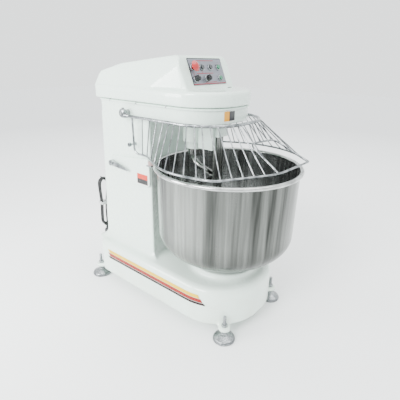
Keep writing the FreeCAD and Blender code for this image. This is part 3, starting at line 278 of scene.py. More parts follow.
def two_tone_label():
    """A blank rating plate: orange over black, with a thin pale rim."""
    f = Finish("rating_plate", {"IOR": 1.46, "Coat Weight": 0.25})
    low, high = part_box("side_label")
    middle = (low.z + high.z) / 2
    upper = f.z.rises(middle - 0.0002, middle + 0.0002)
    inside = between(f.y, low.y, high.y, 0.002) * between(f.z, low.z, high.z, 0.002)
    colour = f.mix(upper, tint("0c0d10"), tint("c42a06"))
    worn = f.noise(240.0, 3.0)
    print_colour = f.mix(worn.rises(0.6, 0.8) * 0.3, colour, tint("e9e4dc"))
    f.feed("Base Color", f.mix(inside, tint("efe9e2"), print_colour))
    f.feed("Roughness", 0.32 + 0.15 * worn)
    f.bump(worn, 0.06, 0.0002)
    return f.material


def plain_badge():
    """A blank plate on the head: an amber block beside a charcoal one, with pale upper and lower edges."""
    f = Finish("head_badge_print", {"IOR": 1.46, "Coat Weight": 0.5, "Coat Roughness": 0.05})
    low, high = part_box("head_badge")
    split = low.x + (high.x - low.x) * 0.42
    colour = f.mix(f.x.rises(split - 0.0003, split + 0.0003), tint("e09a06"), tint("14161a"))
    worn = f.noise(170.0, 3.0)
    f.feed("Base Color", f.mix(between(f.z, low.z, high.z, 0.003), tint("e6e6e0"), colour))
    f.feed("Roughness", 0.24 + 0.14 * worn)
    f.bump(worn, 0.05, 0.0002)
    return f.material


# ------ shapes
def add_piece(name, data):
    """A new object in the scene with that mesh, curve, lamp or camera."""
    made = bpy.data.objects.new(name, data)
    bpy.context.scene.collection.objects.link(made)
    return made


def mesh_from(name, build, crease=38.0):
    """A mesh written by build(bm), with smooth faces and sharp edges only where it turns past crease."""
    bm = bmesh.new()
    build(bm)
    bmesh.ops.remove_doubles(bm, verts=bm.verts, dist=1e-6)
    bmesh.ops.recalc_face_normals(bm, faces=bm.faces)
    mesh = bpy.data.meshes.new(name)
    bm.to_mesh(mesh)
    bm.free()
    mesh.shade_smooth()
    mesh.set_sharp_from_angle(angle=math.radians(crease))
    return mesh


def settled(name, source):
    """What source's modifiers give, as a plain mesh object; source is removed."""
    graph = bpy.context.evaluated_depsgraph_get()
    mesh = bpy.data.meshes.new_from_object(source.evaluated_get(graph))
    bpy.data.objects.remove(source)
    mesh.name = name
    return add_piece(name, mesh)


def fit(piece, body, finish, *nodes):
    """Gives a finished piece its material and says what it moves with and stands for."""
    piece.data.materials.clear()
    piece.data.materials.append(FINISHES[finish])
    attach(piece, body)
    if nodes:
        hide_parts(*nodes)
    return piece


def fitted(name, build, body, finish, *nodes):
    """A piece with the mesh that build(bm) writes, given its finish and its body."""
    return fit(add_piece(name, mesh_from(name, build)), body, finish, *nodes)


def eased(profile, reach):
    """The profile with each inner corner replaced by a short curve that starts reach before it."""
    points = [Vector(p) for p in profile]
    line = [points[0]]
    for a, b, c in zip(points, points[1:], points[2:]):
        cut = min(reach, (a - b).length / 2, (c - b).length / 2)
        start = b + (a - b).normalized() * cut
        end = b + (c - b).normalized() * cut
        for k in range(5):
            t = k / 4
            line.append(start * (1 - t) ** 2 + b * (2 * t * (1 - t)) + end * t ** 2)
    line.append(points[-1])
    return line


def turned(bm, profile, origin, axis=UP, steps=72):
    """A closed solid of revolution from (radius, height) pairs in millimetres along axis from origin."""
    turn = UP.rotation_difference(axis.normalized()).to_matrix()
    rings = []
    for radius, height in profile:
        count = steps if radius > 1e-6 else 1
        angles = [2 * math.pi * k / steps for k in range(count)]
        rings.append([bm.verts.new(origin + turn @ Vector((
            radius * MM * math.cos(a), radius * MM * math.sin(a), height * MM))) for a in angles])
    for low, high in zip(rings, rings[1:]):
        for k in range(steps):
            after = k + 1
            corners = (low[k % len(low)], low[after % len(low)], high[after % len(high)], high[k % len(high)])
            unique = list(dict.fromkeys(corners))
            if len(unique) > 2:
                bm.faces.new(unique)


def arc(x, y, radius, start, sweep, steps):
    """Points (x, y) along a circle round that centre, from start through sweep degrees."""
    angles = [math.radians(start + sweep * k / steps) for k in range(steps + 1)]
    return [(x + radius * math.cos(a), y + radius * math.sin(a)) for a in angles]


def plan_outline(half, front, rear, nose_r, tail_r, steps):
    """A rounded rectangle seen from above, as (x, y) pairs in millimetres; each corner has steps + 1."""
    line = []
    for x, y, r, start in ((half, rear, tail_r, 0), (-half, rear, tail_r, 90),
                           (-half, front, nose_r, 180), (half, front, nose_r, 270)):
        line += arc(x - math.copysign(r, x), y - r if start < 180 else y + r, r, start, 90, steps)
    return line


def drawn_in(plan, inset):
    """The outline of a plan (half width, front, rear, nose and tail radii) drawn in all round by inset."""
    half, front, rear, nose_r, tail_r = plan
    return plan_outline(half - inset, front + inset, rear - inset, nose_r - inset, tail_r - inset, 16)


def ring_at(outline, z, x0=0, y0=0):
    """An outline seen from above, laid level at height z."""
    return [at(x0 + x, y0 + y, z) for x, y in outline]


def rounded_top(radius, z, step):
    """(inset, height) pairs up a quarter round that starts at height z, one for each step degrees."""
    return [(radius * (1 - math.cos(math.radians(a))), z + radius * math.sin(math.radians(a)))
            for a in range(step, 91, step)]


def lofted(bm, rings):
    """A closed skin through rings of points that all have the same number, capped at both ends."""
    rows = [[bm.verts.new(p) for p in ring] for ring in rings]
    count = len(rows[0])
    for low, high in zip(rows, rows[1:]):
        for k in range(count):
            bm.faces.new((low[k], low[(k + 1) % count], high[(k + 1) % count], high[k]))
    bm.faces.new(list(reversed(rows[0])))
    bm.faces.new(rows[-1])


def hulled(bm, points):
    """The convex hull round the points."""
    verts = [bm.verts.new(p) for p in points]
    hull = bmesh.ops.convex_hull(bm, input=verts)
    bmesh.ops.delete(bm, geom=[g for g in hull["geom_interior"] if isinstance(g, bmesh.types.BMVert)],
                     context="VERTS")


def moulded(name, build, voxel, passes):
    """One smooth skin round the closed shells that build(bm) makes, with every edge and joint softened."""
    mesh = bpy.data.meshes.new(name)
    bm = bmesh.new()
    build(bm)
    bmesh.ops.recalc_face_normals(bm, faces=bm.faces)
    bm.to_mesh(mesh)
    bm.free()
    rough = add_piece(name + "_rough", mesh)
    remesh = rough.modifiers.new("skin", "REMESH")
    remesh.mode = "VOXEL"
    remesh.voxel_size = voxel * MM
    remesh.use_smooth_shade = True
    smooth = rough.modifiers.new("soften", "SMOOTH")
    smooth.factor = 0.5
    smooth.iterations = passes
    return settled(name, rough)


SHARP_TURN = math.radians(35.0)


def eased_copy(node, width, body, finish):
    """A CAD node's own shape with its sharp edges rounded, standing for that node."""
    mesh = bpy.data.meshes.new(node + "_eased")
    bm = bmesh.new()
    bm.from_mesh(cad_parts[node].data)
    bmesh.ops.remove_doubles(bm, verts=bm.verts, dist=2e-6)
    bmesh.ops.dissolve_limit(bm, angle_limit=math.radians(0.6), verts=bm.verts, edges=bm.edges)
    sharp = [e for e in bm.edges if e.is_manifold and e.calc_face_angle(0) > SHARP_TURN]
    bmesh.ops.bevel(bm, geom=sharp, offset=width * MM, segments=3, profile=0.5, affect="EDGES",
                    clamp_overlap=True)
    bm.to_mesh(mesh)
    bm.free()
    mesh.shade_smooth()
    mesh.set_sharp_from_angle(angle=SHARP_TURN)
    return fit(add_piece(node + "_eased", mesh), body, finish, node)


# ------ mains cord
CORD_R = 4.5
GLAND = (-20, 728.24, 690)
CORD_ROUTE = [at(-20, 748.24, 690), at(-21, 795, 687), at(-40, 832, 676), at(-78, 846, 658),
              at(-108, 836, 634), at(-121, 810, 598), at(-125, 780, 553), at(-133, 765, 500)]
HANK_X = -168
HOOK_Z = 593
TOP_FOLD_Z, TOP_FOLD_HALF, LAST_FOLD_HALF = 567, 34.5, 31.5
STRAND_TOP, TIE_Z = 530, 451
STRAND_FOOT = 37  # a strand's lowest point above the centre of its bottom fold
HANK_PINCH = 6
# Each turn of the hank: its layer, its half width and the height of its bottom fold's centre.
HANK_TURNS = [(763.0, 34.5, 335), (772.3, 31.0, 346), (781.6, 33.0, 338)]
LAST_LAYER = 790.9
PLUG_X, PLUG_Y, PLUG_TOP, PLUG_NECK = -158, 791, 290, 296


def fold_points(middle, z, half, up, y0, y1):
    """Control points of a half turn at the hank's end: left along the bottom, or right over the top."""
    reach = half / math.cos(math.radians(22.5))
    points = []
    for k in range(4):
        a = math.radians(22.5 + 45 * k)
        side = -math.cos(a) if up else math.cos(a)
        rise = math.sin(a) if up else -math.sin(a)
        points.append(at(middle + reach * side, y0 + (y1 - y0) * (k + 0.5) / 4, z + reach * rise))
    return points


def hank_points():
    """Three flat turns that lie beside each other, then the end hanging down the outside to the plug."""
    points = []
    layers = [y for y, _, _ in HANK_TURNS] + [LAST_LAYER]
    for (y, half, low), next_y in zip(HANK_TURNS, layers[1:]):
        right, left = HANK_X + half, HANK_X - half
        if points:
            points.append(at(right, y, STRAND_TOP))
        points += [at(right - HANK_PINCH, y, TIE_Z), at(right, y, low + STRAND_FOOT)]
        points += fold_points(HANK_X, low, half, False, y, y)
        points += [at(left, y, low + STRAND_FOOT), at(left + HANK_PINCH, y, TIE_Z), at(left, y, STRAND_TOP)]
        across = LAST_FOLD_HALF if next_y == LAST_LAYER else TOP_FOLD_HALF
        narrower = TOP_FOLD_HALF - across
        points += fold_points(HANK_X - narrower, TOP_FOLD_Z + narrower, across, True, y, next_y)
    points += [at(HANK_X + 28.5, LAST_LAYER, 520), at(HANK_X + 16, LAST_LAYER + 1, TIE_Z),
               at(PLUG_X, PLUG_Y, 390), at(PLUG_X, PLUG_Y, 340), at(PLUG_X, PLUG_Y, PLUG_TOP)]
    return points


def lay_cord():
    """The whole lead as one spline: out of the gland, over to the hook, and wound into its hank."""
    data = bpy.data.curves.new("mains_lead", "CURVE")
    data.dimensions = "3D"
    data.bevel_depth = CORD_R * MM
    data.bevel_resolution = 5
    data.resolution_u = 8
    data.use_fill_caps = True
    points = CORD_ROUTE + hank_points()
    line = data.splines.new("NURBS")
    line.points.add(len(points) - 1)
    for point, place in zip(line.points, points):
        point.co = (*place, 1)
    line.order_u = 3
    line.use_endpoint_u = True
    return fit(add_piece("mains_lead", data), "machine", "rubber", "mains_cord", "cord_hank")


def make_plug():
    """A round moulded plug with a ribbed neck and two pins, hanging under the hank."""
    neck = [(5.2, 6), (5.2, 2), (8, 0), (8, -4), (6.8, -5), (6.8, -8), (8.4, -9), (8.4, -13), (7.4, -14),
            (7.4, -17), (9.4, -18), (10, -30), (17, -36), (19, -40), (19, -58), (17.6, -59), (17.6, -64),
            (19, -65), (19, -82), (0, -84)]

    def build(bm):
        turned(bm, [(0, 6)] + eased(neck, 1.2), at(PLUG_X, PLUG_Y, PLUG_NECK), steps=48)
        for side in (-9.5, 9.5):
            turned(bm, eased([(0, -102.6), (2.4, -101.4), (2.4, -83), (0, -83)], 0.8),
                   at(PLUG_X + side, PLUG_Y, PLUG_NECK), steps=20)
    return fitted("plug_moulding", build, "machine", "black", "plug")


def make_gland():
    """The gland's nut with its ribbed, tapered sleeve, and the hook that carries the hank."""
    out = Vector((0, math.cos(REAR_LEAN), math.sin(REAR_LEAN)))
    sleeve = [(14, 0), (14, 9), (11, 11), (10.5, 14)]
    for k in range(6):
        wide, narrow, z = 10.2 - 0.7 * k, 9.2 - 0.6 * k, 14 + 4.4 * k
        sleeve += [(wide, z), (narrow, z + 1.4), (narrow, z + 3)]
    sleeve += [(5.0, 42), (4.7, 46)]
    flange = [(0, 0), (9, 0), (9, 2), (6, 4), (0, 4)]
    rod = [at(HANK_X, 731, HOOK_Z - 0.6), at(HANK_X, 790, HOOK_Z + 1.5), at(HANK_X, 800, HOOK_Z + 3),
           at(HANK_X, 803, HOOK_Z + 13)]

    def build(bm):
        turned(bm, [(0, 0)] + eased(sleeve, 0.9) + [(0, 46)], at(*GLAND), out, steps=48)
        turned(bm, eased(flange, 0.8), at(HANK_X, 732.5, HOOK_Z), out, steps=32)
        rings = []
        for place, ahead in zip(rod, (rod[1] - rod[0], rod[2] - rod[0], rod[3] - rod[1], rod[3] - rod[2])):
            turn = UP.rotation_difference(ahead.normalized()).to_matrix()
            rings.append([place + turn @ Vector((x * MM, y * MM, 0)) for x, y in arc(0, 0, 4, 0, 340, 17)])
        lofted(bm, rings)
    return fitted("gland_and_hook", build, "machine", "black", "cord_gland_and_hook")


def make_tie():
    """A soft band wrapped once round the hank, with its end lapped over."""
    def ring(half, front, rear, corner, steps, z):
        return ring_at(plan_outline(half, front, rear, corner, corner, steps), TIE_Z + z, HANK_X)

    def build(bm):
        band = ((0.0, 8.2), (1.2, 7.4), (1.8, 4), (1.8, -4), (1.2, -7.4), (0.0, -8.2))
        lofted(bm, [ring(35.5 + more, 757.5 - more, 797 + more, 12, 6, z) for more, z in band])
        lap = ((0.0, 6.6), (1.4, 5.8), (1.4, -5.8), (0.0, -6.6))
        lofted(bm, [ring(11 + more, 797, 800.2 + more, 1, 3, z) for more, z in lap])
    return fitted("hank_tie", build, "machine", "tie", "cord_tie")


# ------ painted castings
# Plans of the castings: half width, front, rear, radius of the front corners, radius of the rear ones.
BASE = (279, -234, 749, 254, 89)
HEAD = (206, -38, 708, 165, 40)
LID = (218, -52, 742, 188, 50)
BASE_LOW, BASE_EDGE_Z, BASE_EDGE_R = 64, 226, 34
COLUMN_HALF, COLUMN_REAR, COLUMN_TAIL_R = 206, 745, 40
COLUMN_LOW, COLUMN_TOP, COLUMN_FLARE = 252, 1001, 46
LEAN_FOOT = 260  # the height at which the leaning rear wall stands at COLUMN_REAR
HOLLOW_R = 376
HEAD_LOW, HEAD_TOP, FLANGE_OUT = 1000, 1072, 10.5
LUGS = ((218.5, -176), (254.5, 750))
LUG_R, LUG_LOW, LUG_TOP = 30, 55, 75


def base_shell(bm):
    """The base, rounded along its top edge, with the round seat of the bowl's bearing on it."""
    rings = [(0, BASE_LOW), (0, BASE_EDGE_Z)] + rounded_top(BASE_EDGE_R, BASE_EDGE_Z, 10)
    lofted(bm, [ring_at(drawn_in(BASE, inset), z) for inset, z in rings])
    seat = [(0, 288.0), (168, 288.0), (170, 286.5), (172, 270), (180, 262.5), (196, 258), (0, 258)]
    turned(bm, eased(seat, 5), at(0, 0, 0), steps=96)


def lug_shell(bm, x, y):
    """An ear that flares up into the base's corner, left flat round the levelling nut."""
    inward = Vector((-math.copysign(0.72, x), -math.copysign(0.69, y - 250), 0))
    across = Vector((-inward.y, inward.x, 0))
    foot = Vector((x, y, 0))
    levels = (LUG_LOW, LUG_TOP)
    ear = [Vector((px, py, z)) for px, py in arc(x, y, LUG_R, 0, 345, 23) for z in levels]
    ear += [foot + inward * 60 + across * side + UP * z for side in (-LUG_R, LUG_R) for z in levels]
    flare = [foot + inward * 20 + across * side + UP * 74 for side in (-25, 25)]
    flare += [foot + inward * 62 + across * side + UP * z for side in (-29, 29) for z in (60, 142)]
    for points in (ear, flare):
        hulled(bm, [at(*p) for p in points])


def column_outline(z, flare):
    """The column from above at height z: a hollow front that clears the bowl, and a leaning rear."""
    half = COLUMN_HALF + flare
    rear = COLUMN_REAR - (z - LEAN_FOOT) * math.tan(REAR_LEAN) + flare
    hollow = HOLLOW_R - flare
    edge = math.degrees(math.acos(half / hollow))
    r = COLUMN_TAIL_R
    return (arc(half - r, rear - r, r, 0, 90, 12) + arc(r - half, rear - r, r, 90, 90, 12)
            + arc(0, 0, hollow, 180 - edge, 2 * edge - 180, 40))


def column_shell(bm):
    """The column, spreading at its foot into the base."""
    r = COLUMN_FLARE
    turns = [math.radians(a) for a in range(0, 91, 10)]
    rings = [(r * (1 - math.sin(a)), COLUMN_LOW + r * (1 - math.cos(a))) for a in turns]
    lofted(bm, [ring_at(column_outline(z, flare), z) for flare, z in rings + [(0, COLUMN_TOP)]])


def head_shell(bm):
    """The head's lower casting and the flange that the lid sits on."""
    for out, low, high in ((0, HEAD_LOW, HEAD_TOP - 2), (FLANGE_OUT, HEAD_TOP - 6, HEAD_TOP)):
        lofted(bm, [ring_at(drawn_in(HEAD, -out), z) for z in (low, high)])


def make_body():
    """Base, column and head as one painted skin."""
    def build(bm):
        base_shell(bm)
        column_shell(bm)
        head_shell(bm)
        for x, y in LUGS:
            lug_shell(bm, x, y)
            lug_shell(bm, -x, y)
    fit(moulded("painted_body", build, voxel=6.5, passes=5), "machine", "enamel",
        "base_casting", "column_shell", "head_casting", "bowl_bearing_housing")


def prism(name, outline, direction):
    """The solid that a flat outline sweeps along direction."""
    def build(bm):
        lofted(bm, [outline, [p + direction for p in outline]])
    return add_piece(name, mesh_from(name, build))


CORNER_STEPS = 10


def corner_line(corners):
    """Points of an outline whose corners, given as (x, y, z, radius), are cut to arcs."""
    places = [at(x, y, z) for x, y, z, _ in corners]
    line = []
    for k, corner in enumerate(places):
        radius = corners[k][3] * MM
        if radius == 0:
            line.append(corner)
            continue
        to_last = (places[k - 1] - corner).normalized()
        to_next = (places[(k + 1) % len(places)] - corner).normalized()
        half = to_last.angle(to_next) / 2
        middle = corner + (to_last + to_next).normalized() * (radius / math.sin(half))
        start = corner + to_last * (radius / math.tan(half)) - middle
        end = corner + to_next * (radius / math.tan(half)) - middle
        for t in range(CORNER_STEPS + 1):
            turn = Matrix.Rotation(start.angle(end) * t / CORNER_STEPS, 3, start.cross(end))
            line.append(middle + turn @ start)
    return line


SKIRT_Z, SHOULDER_Z, LID_TOP_Z = 1124, 1140, 1285
FACE_LEAN = math.radians(23)
FACE_FOOT = Vector((0, 108, SHOULDER_Z))


def hump_mesh():
    """The lid's raised housing: its side, front and top outlines taken straight through each other."""
    low, top = SHOULDER_Z - 12, LID_TOP_Z
    slope = math.tan(FACE_LEAN)
    foot = FACE_FOOT.y - 12 * slope
    side = [(-300, foot, low, 0), (-300, foot + (top - low) * slope, top, 30), (-300, 540, 1242, 120),
            (-300, 698, 1202, 50), (-300, 728, low, 0)]
    front = [(-211, 0, low, 0), (-165, 0, top + 4, 48), (165, 0, top + 4, 48), (211, 0, low, 0)]
    above = [(-211, 900, low, 0), (-211, 330, low, 200), (-152, 0, low, 0),
             (152, 0, low, 0), (211, 330, low, 200), (211, 900, low, 0)]
    cutters = []
    for name, corners, sweep in (("side", side, (0.6, 0, 0)), ("front", front, (0, 0.9, 0)),
                                 ("above", above, (0, 0, 0.4))):
        cutters.append(prism("hump_" + name, corner_line(corners), Vector(sweep)))
    for cutter in cutters[1:]:
        meet = cutters[0].modifiers.new("meet", "BOOLEAN")
        meet.operation = "INTERSECT"
        meet.object = cutter
    hump = settled("hump", cutters[0])
    for cutter in cutters[1:]:
        bpy.data.objects.remove(cutter)
    mesh = hump.data
    bpy.data.objects.remove(hump)
    return mesh


def make_lid():
    """The lid: a rounded skirt with the raised control housing on it."""
    hump = hump_mesh()
    rings = [(2.5, 1074.2), (0, 1076.5), (0, SKIRT_Z)] + rounded_top(SHOULDER_Z - SKIRT_Z, SKIRT_Z, 15)

    def build(bm):
        bm.from_mesh(hump)
        lofted(bm, [ring_at(drawn_in(LID, inset), z) for inset, z in rings])
    fit(moulded("head_lid_skin", build, voxel=4.2, passes=7), "machine", "enamel", "head_lid")


def make_lid_slot():
    """A short dark slot in the lid's shoulder, beside the raised housing: its shade is painted, as a small
    black block.
    """
    def build(bm):
        outlines = [(plan_outline(15 - inset, inset - 2.4, 2.4 - inset, 1, 1, 4), SHOULDER_Z + z)
                    for inset, z in ((0, -6), (0, 1.4), (0.8, 2.2))]
        lofted(bm, [ring_at(outline, z, 132, 103.5) for outline, z in outlines])
    fitted("lid_slot", build, "machine", "black")


# ------ bowl
DISH_FLAT, DISH_R, DISH_DEPTH, DISH_TOP = 19, 316, 165, 470
WALL_R, WALL_TOP = 339.9, 787
BEAD_R = 9.5


def bowl_sheet(outer, inner):
    """Half the section of a sheet that lies between two depths under the bowl's outer face."""
    turns = [math.radians(a) for a in range(0, 91, 3)]
    faces = []
    for depth in (outer, inner):
        dish = [(DISH_FLAT + (DISH_R - depth) * math.sin(a), DISH_TOP - (DISH_DEPTH - depth) * math.cos(a))
                for a in turns]
        faces.append([(0, DISH_TOP - DISH_DEPTH + depth)] + dish + [(WALL_R - depth, WALL_TOP)])
    return faces[0] + faces[1][::-1]


def make_bowl():
    """The spun bowl: a deep dished wall of 3 mm sheet, as an outer and an inner skin, with a rolled rim. The
    inner skin is the same steel painted lighter than the outer, as painted light.
    """
    rim_foot = (337, WALL_TOP - 0.5)
    bead = arc(346.5, 794, BEAD_R, -133, 312, 26)
    rim = [rim_foot, (WALL_R, WALL_TOP - 0.5)] + bead + [rim_foot]
    for name, section, finish, nodes in (("bowl_skin", bowl_sheet(0, 1.5), "stainless", ["bowl"]),
                                         ("bowl_inner_skin", bowl_sheet(1.6, 3), "steel_inside_painted_lighter", []),
                                         ("bowl_rim", rim, "rim", [])):
        fitted(name, lambda bm: turned(bm, section, at(0, 0, 0), steps=144), "bowl", finish, *nodes)


# ------ controls
PANEL_OUT = Vector((0, -math.cos(FACE_LEAN), math.sin(FACE_LEAN)))
PANEL_UP = Vector((0, math.sin(FACE_LEAN), math.cos(FACE_LEAN)))
PANEL_MIDDLE = 80  # up the leaning face from its foot
PANEL_FACE, BEZEL_TOP = 2, 7
BUTTON_BORE, STEM_BORE = 9.8, 5.3
PUSH_BUTTONS = [("button_light", -34, 18, "dark_lens"), ("button_bowl_jog", 25, 18, "dark_lens"),
                ("button_start", 84, 18, "green"), ("button_bowl_start", 81, -33, "green")]
KNOBS = [("timer_knob_low_speed", -96, -33), ("timer_knob_high_speed", -17, -33)]
EMERGENCY = (-98, 18)


def on_panel(u, v, n=0.0):
    """A point across, up and out of the leaning control face, in millimetres from the panel's middle."""
    return at(*(FACE_FOOT + Vector((u, 0, 0)) + PANEL_UP * (v + PANEL_MIDDLE) + PANEL_OUT * n))


def brushed_panel():
    """Brushed aluminium with a dark border, a red foot line and thin red lines between the controls."""
    f = Finish("brushed_panel", {"Metallic": 0.75})
    middle = on_panel(0, 0)
    u = f.x * 1000.0
    v = (f.y - middle.y) * (1000.0 * PANEL_UP.y) + (f.z - middle.z) * (1000.0 * PANEL_UP.z)

    def bar(u0, u1, v0, v1):
        return between(u, u0, u1, 0, 0.35) * between(v, v0, v1, 0, 0.35)

    red = bar(-117, 117, -58, -54.5)
    for sides in ((-60, 62, 47.5, 50.5), (-80, 40, -10, -7.2), (-100, -97, -16, -4), (-41, -38, -8, 4),
                  (-36, 50, -51, -48.5)):
        red = f.math("MAXIMUM", red, bar(*sides))
    inside = bar(-117, 118, -60, 57.5)
    hair = f.noise(1.0, 2.0, stretch=(14, 1100, 1100))
    ground = f.mix(hair, tint("6f717b"), tint("a2a4ad"))
    framed = f.mix(inside, tint("16181e"), ground)
    f.feed("Base Color", f.mix(red, framed, tint("a00812")))
    f.feed("Roughness", 0.3 + 0.18 * hair)
    f.bump(hair, 0.10, 0.0003)
    return f.material


def make_bezels():
    """A bright ring round each button and knob, sitting on the panel."""
    spots = [(u, v, BUTTON_BORE) for _, u, v, _ in PUSH_BUTTONS] + [(u, v, STEM_BORE) for _, u, v in KNOBS]
    spots.append((*EMERGENCY, STEM_BORE))

    def build(bm):
        for u, v, bore in spots:
            ring = [(bore, -4.5), (bore + 0.6, PANEL_FACE), (15, PANEL_FACE), (15, 5), (13.4, BEZEL_TOP),
                    (bore + 1.6, BEZEL_TOP), (bore, 6), (bore, -4.5)]
            turned(bm, eased(ring, 0.7), on_panel(u, v), PANEL_OUT, 40)
    fitted("bezel_rings", build, "machine", "chrome", "button_bezels")


def make_push_buttons():
    """The flat caps, and the emergency button's wide mushroom head."""
    cap = [(0, 11.2), (5.5, 11.4), (8.2, 12.0), (9.5, 11), (9.5, -9), (0, -9)]
    for name, u, v, finish in PUSH_BUTTONS:
        fitted(name + "_cap", lambda bm: turned(bm, eased(cap, 1.0), on_panel(u, v), PANEL_OUT, 40),
               name, finish, name)
    turns = [math.radians(a) for a in range(0, 53, 4)]
    head = [(30 * math.sin(a), 5 + 30 * math.cos(a)) for a in turns]
    head += [(24, 23), (23.4, 21.4), (20, 20.8), (10, 20.4), (8.8, 18), (8.8, 14), (5, 13.6), (5, -9),
             (0, -9)]
    middle = on_panel(*EMERGENCY)
    fitted("emergency_mushroom", lambda bm: turned(bm, eased(head, 1.2), middle, PANEL_OUT, 64),
           "emergency_button", "red", "emergency_button")


def make_knobs(ribs):
    """Tapered black knobs with a ribbed grip and a white pointer line."""
    grip = [(0, 25), (10, 25), (11.4, 23.8), (12.6, 12), (14, 10.4), (14.2, 8.6), (5, 8), (5, -9), (0, -9)]
    pointer_foot = ((-1.9, 1.0), (1.9, 1.0), (1.9, 10.8), (-1.9, 10.8))
    pointer_top = ((-1.33, 1.6), (1.33, 1.6), (1.33, 10.0), (-1.33, 10.0))
    mark = ((-0.6, 3), (0.6, 3), (0.6, 9.4), (-0.6, 9.4))
    lean = UP.rotation_difference(PANEL_OUT).to_euler()
    for name, u, v in KNOBS:
        def layer(corners, n):
            return [on_panel(u + x, v + y, n) for x, y in corners]

        def body(bm):
            turned(bm, eased(grip, 1.2), on_panel(u, v), PANEL_OUT, 56)
            lofted(bm, [layer(pointer_foot, 24), layer(pointer_top, 27.6)])
        fitted(name + "_body", body, name, "black", name)
        fit(grown(name + "_ribs", ribs, {
            "Count": 18, "Radius": 12 * MM, "Length": 11 * MM, "Thickness": 0.7 * MM,
            "Place": on_panel(u, v, 18), "Turn": lean}), name, "black")
        fitted(name + "_line", lambda bm: lofted(bm, [layer(mark, n) for n in (27.2, 27.9)]), name, "white")


# ------ what repeats
INPUT_KINDS = {"Count": "Int", "Place": "Vector", "Turn": "Vector"}


def new_tree(name, *inputs):
    """A Geometry Nodes tree with named inputs, as a graph and its input node's outputs by name."""
    tree = bpy.data.node_groups.new(name, "GeometryNodeTree")
    tree.interface.new_socket("Geometry", in_out="INPUT", socket_type="NodeSocketGeometry")
    for key in inputs:
        kind = "NodeSocket" + INPUT_KINDS.get(key, "Float")
        tree.interface.new_socket(key, in_out="INPUT", socket_type=kind)
    tree.interface.new_socket("Geometry", in_out="OUTPUT", socket_type="NodeSocketGeometry")
    graph = Graph(tree)
    source = tree.nodes.new("NodeGroupInput")
    return graph, {s.name: Wire(graph, s) for s in source.outputs if s.name}


def end_tree(graph, shape, material):
    """Turns instances into real faces, smooths and paints them, and sends them out of the tree."""
    real = graph.node("GeometryNodeRealizeInstances", {}, {"Geometry": shape})
    smooth = graph.node("GeometryNodeSetShadeSmooth", {}, {"Geometry": real})
    painted = graph.node("GeometryNodeSetMaterial", {}, {"Geometry": smooth, "Material": material})
    sink = graph.tree.nodes.new("NodeGroupOutput")
    graph.tree.links.new(painted.socket, sink.inputs["Geometry"])
    return graph.tree


def weld_tree():
    """A small bead on every point."""
    graph, given = new_tree("weld_beads", "Size")
    bead = graph.node("GeometryNodeMeshIcoSphere", {}, {"Radius": given["Size"], "Subdivisions": 2})
    return end_tree(graph, on_points(graph, given["Geometry"], bead), FINISHES["chrome"])


def on_points(graph, points, shape):
    """That shape on every point."""
    return graph.node("GeometryNodeInstanceOnPoints", {}, {"Points": points, "Instance": shape})


def placed(graph, shape, given):
    """The shape turned and moved by the tree's own inputs."""
    return graph.node("GeometryNodeTransform", {}, {
        "Geometry": shape, "Translation": given["Place"], "Rotation": given["Turn"]})


def ladder(graph, given):
    """Points one above another along Z, at the given pitch."""
    step = graph.node("ShaderNodeCombineXYZ", {}, {"Z": given["Pitch"]})
    return graph.node("GeometryNodeMeshLine", {}, {"Count": given["Count"], "Offset": step})


def circle_curve(graph, radius, resolution):
    return graph.node("GeometryNodeCurvePrimitiveCircle", {}, {"Resolution": resolution, "Radius": radius})


def bar_shape(graph, length, thickness):
    """A round bar of that length along Z, centred."""
    top = graph.node("ShaderNodeCombineXYZ", {}, {"Z": length * 0.5})
    bottom = graph.node("ShaderNodeCombineXYZ", {}, {"Z": length * -0.5})
    line = graph.node("GeometryNodeCurvePrimitiveLine", {}, {"Start": bottom, "End": top})
    return graph.node("GeometryNodeCurveToMesh", {}, {
        "Curve": line, "Profile Curve": circle_curve(graph, thickness, 8), "Fill Caps": True})


def rib_tree():
    """Upright ribs spaced round a circle, turned and moved into place."""
    graph, given = new_tree("grip_ribs", "Count", "Radius", "Length", "Thickness", "Place", "Turn")
    circle = graph.node("GeometryNodeMeshCircle", {}, {
        "Vertices": given["Count"], "Radius": given["Radius"]})
    ribs = on_points(graph, circle, bar_shape(graph, given["Length"], given["Thickness"]))
    return end_tree(graph, placed(graph, ribs, given), FINISHES["black"])


def thread_tree():
    """Close rings stacked along Z, as a screw thread looks from any side."""
    graph, given = new_tree("stud_thread", "Count", "Pitch", "Radius", "Thickness", "Place", "Turn")
    loop = graph.node("GeometryNodeCurveToMesh", {}, {
        "Curve": circle_curve(graph, given["Radius"], 28),
        "Profile Curve": circle_curve(graph, given["Thickness"], 5)})
    rings = on_points(graph, ladder(graph, given), loop)
    return end_tree(graph, placed(graph, rings, given), FINISHES["zinc"])


def louvre_tree():
    """Level round slats, one above another."""
    graph, given = new_tree("louvre_slats", "Count", "Pitch", "Length", "Thickness", "Place", "Turn")
    slat = bar_shape(graph, given["Length"], given["Thickness"])
    level = graph.node("GeometryNodeTransform", {}, {"Geometry": slat, "Rotation": (0, math.pi / 2, 0)})
    slats = on_points(graph, ladder(graph, given), level)
    return end_tree(graph, placed(graph, slats, given), FINISHES["enamel"])


def grown(name, tree, values, mesh=None):
    """Runs a Geometry Nodes tree with its named inputs set, and keeps what it makes as a plain mesh."""
    source = add_piece(name + "_source", mesh or bpy.data.meshes.new(name + "_source"))
    modifier = source.modifiers.new("grow", "NODES")
    modifier.node_group = tree
    keys = {item.name: item.identifier for item in tree.interface.items_tree if item.in_out == "INPUT"}
    for key, value in values.items():
        modifier[keys[key]] = value
    return settled(name, source)


# ------ feet
(FRONT_X, FRONT_Y), (REAR_X, REAR_Y) = LUGS
FEET = [("foot_front_left", -FRONT_X, FRONT_Y), ("foot_front_right", FRONT_X, FRONT_Y),
        ("foot_rear_left", -REAR_X, REAR_Y), ("foot_rear_right", REAR_X, REAR_Y)]
STUD_R, THREAD_LOW = 7.3, 89


